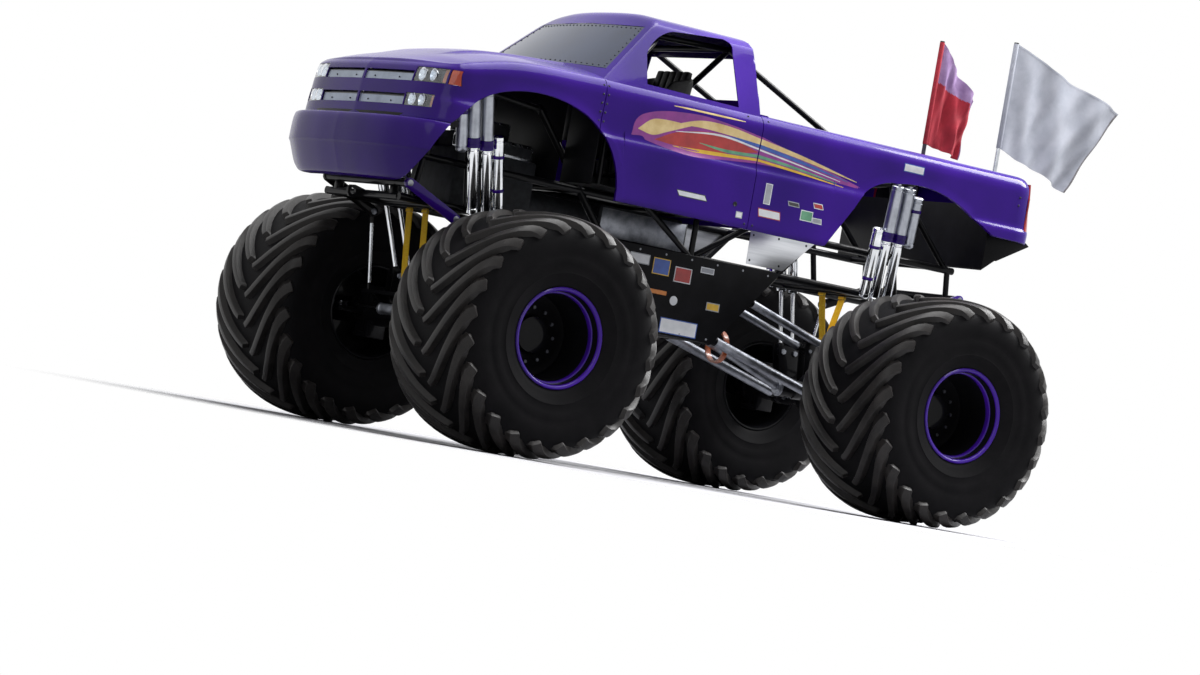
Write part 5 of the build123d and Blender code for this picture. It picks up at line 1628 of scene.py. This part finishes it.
def buildInnerSheets():
    look, inner = sheetLook, bmesh.new()
    rear, front, floor, thick = look["rear"], look["front"], look["floor"], look["thick"]
    railIn, railOut, across = look["railIn"], look["railOut"], look["across"]
    for y0, y1 in ((-across, -railOut), (railOut, across), (-railIn, railIn)):
        addBlock(inner, (rear, y0, floor), (front, y1, floor + thick), 1)
    for y0, y1 in ((-railOut, -railIn), (railIn, railOut)):
        addBlock(inner, (rear, y0, floor), (1004, y1, floor + thick), 1)
        addBlock(inner, (front - thick, y0, 2246), (front, y1, 2640), 1)
    for y0, y1 in ((-928, -railOut), (-railIn, railIn), (railOut, 928)):
        addBlock(inner, (front - thick, y0, floor), (front, y1, 2640), 1)
    for z in (2110, 2400):
        # Swaged ribs stiffen the firewall.
        for y0, y1 in ((-880, -545), (-455, 455), (545, 880)):
            addBlock(inner, (1231, y0, z - 12), (1236, y1, z + 12), 2)
    bedFront, lip = look["bedFront"], look["bedLip"]
    bend = [(bedFront, 2440), (bedFront, floor), (-2484, 2044), (-2770, lip - thick), (-2770, lip),
            (-2480, 2052), (bedFront - thick, floor + 12), (bedFront - thick, 2440)]
    addPlateAt(inner, bend, 0, 1780, 0.6)
    finishPiece("innerSheets", inner, [blackSatin], "inner_panels")


# Cab fittings. The seat's outlines are x forwards of its back and z above the floor.
seatLook = {"floor": 1958.6, "x": 50, "channels": 5, "half": 204, "bolsterY": 230,
            "back": [(210, 205), (40, 1006), (-8, 996), (95, 134)],
            "cushion": [(92, 132), (588, 132), (598, 246), (205, 208)],
            "bolster": [(92, 132), (588, 132), (598, 326), (342, 326), (190, 896), (12, 956), (8, 900)]}
wheelRim = {"hub": (760, 0, 2560), "column": (1160, 0, 2315), "way": (-0.85, 0, 0.52), "radius": 165,
            "grip": 11}


def buildSeat():
    look, bm = seatLook, bmesh.new()
    foot, at, half = look["floor"], look["x"], look["half"]

    def outlineOf(name):
        return [(at + x, foot + z) for x, z in look[name]]
    addBlock(bm, (at + 122, -198, foot), (at + 558, 198, foot + 128), 8, 1)
    for name in ("back", "cushion"):
        for k in range(look["channels"]):
            # Sewn channels run up the back and along the cushion.
            low, high = (2 * half * step / look["channels"] - half for step in (k, k + 1))
            addPlate(bm, outlineOf(name), low + 0.5, high - 0.5, 15)
    for side in (1, -1):
        addPlateAt(bm, outlineOf("bolster"), side * look["bolsterY"], 48, 18)
    for z in (640, 720):
        # Belt slots lean with the back.
        addBlock(bm, (at + 152 - z / 6, -52, foot + z), (at + 174 - z / 6, 52, foot + z + 26), 5, 2)
    seat = finishPiece("seatShell", bm, [leather, blackSatin, webbing], "seat")
    smooth = seat.modifiers.new("soft", "SUBSURF")
    smooth.levels = smooth.render_levels = 1


def buildControls():
    look, bm = wheelRim, bmesh.new()
    axis, sideways = Vector(look["way"]).normalized(), Vector((0, 1, 0))
    hub, up = Vector(look["hub"]) + axis * 12, axis.cross(sideways).normalized()
    turns = [full * k / 12 for k in range(12)]
    ring = [(look["grip"] * sin(a), look["radius"] + look["grip"] * cos(a)) for a in turns]
    addTurned(bm, ring, hub, axis, 48, closed=True)
    addTurned(bm, [(-8, 0), (-8, 44), (6, 44), (10, 26), (10, 0)], hub, axis, 28, 1)
    for k in range(3):
        a = full * (k / 3 + 0.25)
        way = sideways * cos(a) + up * sin(a)
        addTube(bm, hub + way * 30, hub + way * 160, 20, 12, 14, 1)
    addTube(bm, look["hub"], look["column"], 40, 22, slot=1)
    addBlock(bm, (1130, -760, 2300), (1233.7, 760, 2560), 24)
    addBlock(bm, (1126, -250, 2380), (1140, 250, 2530), 6, 1)
    for y in range(-200, 201, 100):
        addTurned(bm, [(0, 34), (7, 34), (8, 30), (3, 28), (3, 0)], (1127, y, 2460), (-1, 0, 0), 26, 2)
    finishPiece("dashAndWheel", bm, [moulding, blackSatin, poleBright], "controls")


# Columns: x and z of the upper end, of the lower end, y.
strapRows = [(2030, 1592.7, 1965, 987.3, -100), (2050, 1592.7, 1985, 987.3, 150),
             (-1600, 1597.7, -1682, 1237.9, 0), (-1800, 1597.7, -1722, 1237.9, 0)]


def buildStraps():
    bm = bmesh.new()
    for x0, z0, x1, z1, y in strapRows:
        def point(u, v):
            # The webbing hangs with a slight bow.
            bow = 9 * sin(pi * v) * sin(2.4 * v + y)
            return Vector((x0 + (x1 - x0) * v + bow * 0.3, y + (2 * u - 1) * 37, z0 + (z1 - z0) * v))
        addSkin(bm, 8, 40, point, (x0 - 400, y, z0), 5)
        for v in (0.03, 0.97):
            spot, half = point(0.5, v), Vector((9, 38, 13))
            addBlock(bm, spot - half, spot + half, 2, 1)
    finishPiece("strapWebbing", bm, [webbing, darkSteel], "limit_straps")


# Flags: each cloth's two free corners, then what both share.
flagLook = {"left": {"far": -3816, "tipZ": 3404, "lowX": -3404, "lowZ": 2708},
            "right": {"far": -3098, "tipZ": 3343, "lowX": -3038, "lowZ": 2862}}
poleLook = {"x": -2680, "y": 450, "foot": 2158.8, "top": 3736, "clothX": -2698, "clothTop": 3732,
            "clothLow": 2922, "grid": (90, 60), "cloth": 1.6, "hem": 2.6}
# Columns: depth, waves along, waves down, shift.
foldWaves = [(34, 9.5, 2.2, 0), (16, 17, -5, 1), (7, 31, 9, 0)]
hemRows = [(0, 18.5), (4, 19.5), (802, 19.5), (806, 18.5), (806, 16.5), (0, 16.5)]
poleCap = [(0, 18), (4, 19), (8, 18), (9, 0)]
poleSocket = [(0, 30), (5, 30), (7, 20), (60, 19), (61, 16)]


def flagPoint(name, side, u, v):
    # u runs from the pole to the free edge, v from the top down; folds grow towards the free corners.
    look, pole = flagLook[name], poleLook
    near, topZ, lowZ = pole["clothX"], pole["clothTop"], pole["clothLow"]
    top = Vector((near + (look["far"] - near) * u, 0, topZ + (look["tipZ"] - topZ) * u))
    low = Vector((near + (look["lowX"] - near) * u, 0, lowZ + (look["lowZ"] - lowZ) * u))
    spot = top.lerp(low, v)
    swell = sin(min(u * 2.2, 1) * pi / 2)
    fold = sum(deep * sin(a * u + b * v + c) for deep, a, b, c in foldWaves)
    sag = 14 * sin(pi * u) * (1 - 2 * v)
    return Vector((spot.x + 6 * sin(12 * v) * u, side * pole["y"] + fold * swell, spot.z - sag * 0.4))


def flatCloth(name, side):
    # The cloth laid flat, in metres: along the pole, along the top edge, and its area.
    columns, rows = poleLook["grid"]
    grid = [[flagPoint(name, side, i / columns, j / rows) for j in range(rows + 1)]
            for i in range(columns + 1)]
    area = sum(((grid[i + 1][j] - grid[i][j]).cross(grid[i][j + 1] - grid[i][j])).length
               for i in range(columns) for j in range(rows)) / 1e6
    length = sum((grid[i + 1][0] - grid[i][0]).length for i in range(columns)) / 1000
    width = sum((grid[0][j + 1] - grid[0][j]).length for j in range(rows)) / 1000
    print("flag", name, "flat", round(width, 3), round(length, 3), "area", round(area, 3))
    return width, length, area


def buildFlags():
    look, poles, up = poleLook, bmesh.new(), (0, 0, 1)
    columns, rows = look["grid"]
    for name, side, cloth, worn in (("left", 1, clothWhite, clothGrey), ("right", -1, clothRed, clothMauve)):
        bm, hem, middle = bmesh.new(), bmesh.new(), (-3000, side * 5000, 3200)
        x, y = look["x"], side * look["y"]
        addSkin(bm, columns, rows, lambda u, v: flagPoint(name, side, u, v), middle, look["cloth"])
        if name == "right":
            # Its upper corner is faded, along a slanting line.
            for face in bm.faces:
                spot = face.calc_center_median() * 1000
                face.material_index = int(spot.z > 3420 + 0.35 * (spot.x - shiftX + 2700))
        piece = finishPiece("flagCloth_" + name, bm, [cloth, worn], "flag_" + name)
        width, length, area = flatCloth(name, side)
        for u0, u1, v0, v1 in ((0, 1, 0, 0.018), (0, 1, 0.982, 1), (0.985, 1, 0, 1)):
            addSkin(hem, columns if u1 - u0 > 0.5 else 3, rows if v1 - v0 > 0.5 else 3,
                    lambda u, v: flagPoint(name, side, u0 + (u1 - u0) * u, v0 + (v1 - v0) * v),
                    middle, look["hem"], int(u0 > 0 or name == "right" and v0 == 0))
        addTurned(hem, hemRows, (x, y, look["clothLow"] + 2), up, 20, closed=True)
        hemPiece = finishPiece("flagHem_" + name, hem, [cloth, worn], None, "truck")
        addTube(poles, (x, y, look["foot"]), (x, y, look["top"]), 32, 22, slot=0 if side > 0 else 2)
        addTurned(poles, poleCap, (x, y, look["clothTop"]), up, 20, 1)
        addTurned(poles, poleSocket, (x, y, 2160), up, 22, 1)
    finishPiece("poleTubes", poles, [poleBright, blackGloss, poleDark], "flag_poles")


# Side graphics: plain darts and streaks, laid on the skin. Columns: share along, x, z, half width.
darts = [
    ("magenta", [(0, 1000, 2350, 3), (0.14, 900, 2425, 92), (0.45, 500, 2440, 148), (0.75, 150, 2446, 124),
                 (1, -95, 2442, 96)]),
    ("magenta", [(0, -105, 2442, 96), (0.45, -480, 2408, 56), (1, -1090, 2334, 3)]),
    ("cream", [(0, 955, 2400, 2), (0.3, 840, 2432, 54), (0.6, 720, 2462, 42), (1, 520, 2500, 2)]),
    ("red", [(0, 800, 2352, 2), (0.35, 590, 2392, 52), (0.7, 250, 2425, 66), (1, -90, 2426, 3)]),
    ("cream", [(0, 640, 2492, 2), (0.4, 420, 2530, 26), (0.7, 180, 2528, 30), (1, -95, 2504, 20)]),
    ("cream", [(0, -105, 2504, 20), (0.5, -500, 2456, 14), (1, -1010, 2376, 2)]),
    ("blue", [(0, 330, 2478, 2), (0.5, 120, 2484, 9), (1, -95, 2472, 12)]),
    ("blue", [(0, -105, 2470, 13), (0.5, -470, 2428, 12), (1, -930, 2364, 2)]),
    ("white", [(0, 640, 2440, 2), (0.5, 260, 2482, 7), (1, -95, 2450, 6)]),
    ("white", [(0, -105, 2446, 6), (0.5, -430, 2408, 5), (1, -860, 2354, 2)]),
    ("green", [(0, 420, 2398, 2), (0.5, 180, 2384, 11), (1, -95, 2398, 11)]),
    ("green", [(0, -105, 2399, 11), (0.5, -420, 2378, 9), (1, -830, 2336, 2)]),
    ("yellow", [(0, 640, 2336, 2), (0.4, 400, 2340, 13), (1, -95, 2372, 9)]),
    ("yellow", [(0, -105, 2372, 9), (0.5, -450, 2352, 8), (1, -900, 2318, 2)]),
    ("cream", [(0, 690, 2612, 2), (0.2, 560, 2615, 6), (0.8, 200, 2618, 6), (1, 60, 2618, 2)])]
# Blank stickers. Columns: x, z of the middle, width, height, slant, films of the field and the border.
sideStickers = [
    (420, 2022, 250, 44, 12, "white", "dark"), (-10, 1960, 58, 46, 0, "white", "grey"),
    (-230, 2150, 60, 150, 0, "grey", "white"), (-270, 2010, 200, 62, 6, "white", "red"),
    (-470, 2118, 100, 34, 6, "dark", "grey"), (-600, 2056, 110, 76, 0, "green", "white"),
    (-690, 2142, 86, 40, 8, "red", "white"), (-700, 2036, 84, 40, 4, "grey", "white"),
    (-1505, 2565, 190, 62, 0, "white", "blue")]
sideFilms = ["magenta", "red", "cream", "blue", "white", "green", "yellow", "grey", "dark"]
# Fasteners beside the hood's seam, and single ones. Columns: x, z.
fastenerSpots = ([(x, 2640 - 62 * k) for x in (1250, 1292) for k in range(5)]
                 + [(-2540, 2540), (-2540, 2480), (30, 2660), (-150, 2655), (-68, 1905), (-140, 1905)])
fastenerRows = [(-3, 0), (-3, 8.5), (1, 8), (3, 5), (3.6, 0)]
latchRows = [(-3, 0), (-3, 17), (2, 17), (3, 14), (1, 11), (1, 0)]


def addFilm(bm, side, point, columns, rows, lift, film):
    addSkin(bm, columns, rows, lambda u, v: sidePoint(*point(u, v), side, lift), (-400, side * 300, 2300),
            lift + 0.4, sideFilms.index(film))


def dartPoint(rows, u, v):
    # A dart is drawn square to its middle line, but its ends at the door seam stand upright.
    x, z, half = readAll(rows, u)
    before, after = max(u - 0.01, 0), min(u + 0.01, 1)
    way = Vector(readAll(rows, after)[:2]) - Vector(readAll(rows, before)[:2])
    way.normalize()
    if abs(abs(x + 100) - 5) < 1:
        way = Vector((-1, 0))
    return x - way.y * half * (2 * v - 1), z + way.x * half * (2 * v - 1)


def buildGraphics():
    bm, bolts = bmesh.new(), bmesh.new()
    for side in (1, -1):
        for layer, (film, rows) in enumerate(darts):
            broad = film == "magenta"
            addFilm(bm, side, lambda u, v: dartPoint(rows, u, v), 56, 10 if broad else 4,
                    0.5 if broad else 0.9 + 0.02 * layer, film)
        for x, z, wide, tall, slant, field, border in sideStickers:
            for grow, lift, film in ((0, 0.5, border), (-6, 0.8, field)):
                w, h = wide / 2 + grow, tall / 2 + grow

                def stickerPoint(u, v):
                    across, rise = 2 * u - 1, 2 * v - 1
                    return x + across * w + slant * rise, z + rise * h
                addFilm(bm, side, stickerPoint, 8, 6, lift, film)
        for x, z in fastenerSpots:
            addTurned(bolts, fastenerRows, sidePoint(x, z, side), (0, side, 0), 14)
        addTurned(bolts, latchRows, sidePoint(40, 2030, side), (0, side, 0), 22)
    films = [filmFinish[name] for name in sideFilms]
    finishPiece("sideFilms", bm, films, None, "truck")
    finishPiece("sideFasteners", bolts, [rivetDark], None, "truck")


buildNose()
buildTailLamps()
buildScreen()
buildPanels()
buildInnerSheets()
buildSeat()
buildControls()
buildStraps()
buildFlags()
buildGraphics()
print("fittings ready")

print("pieces ready")
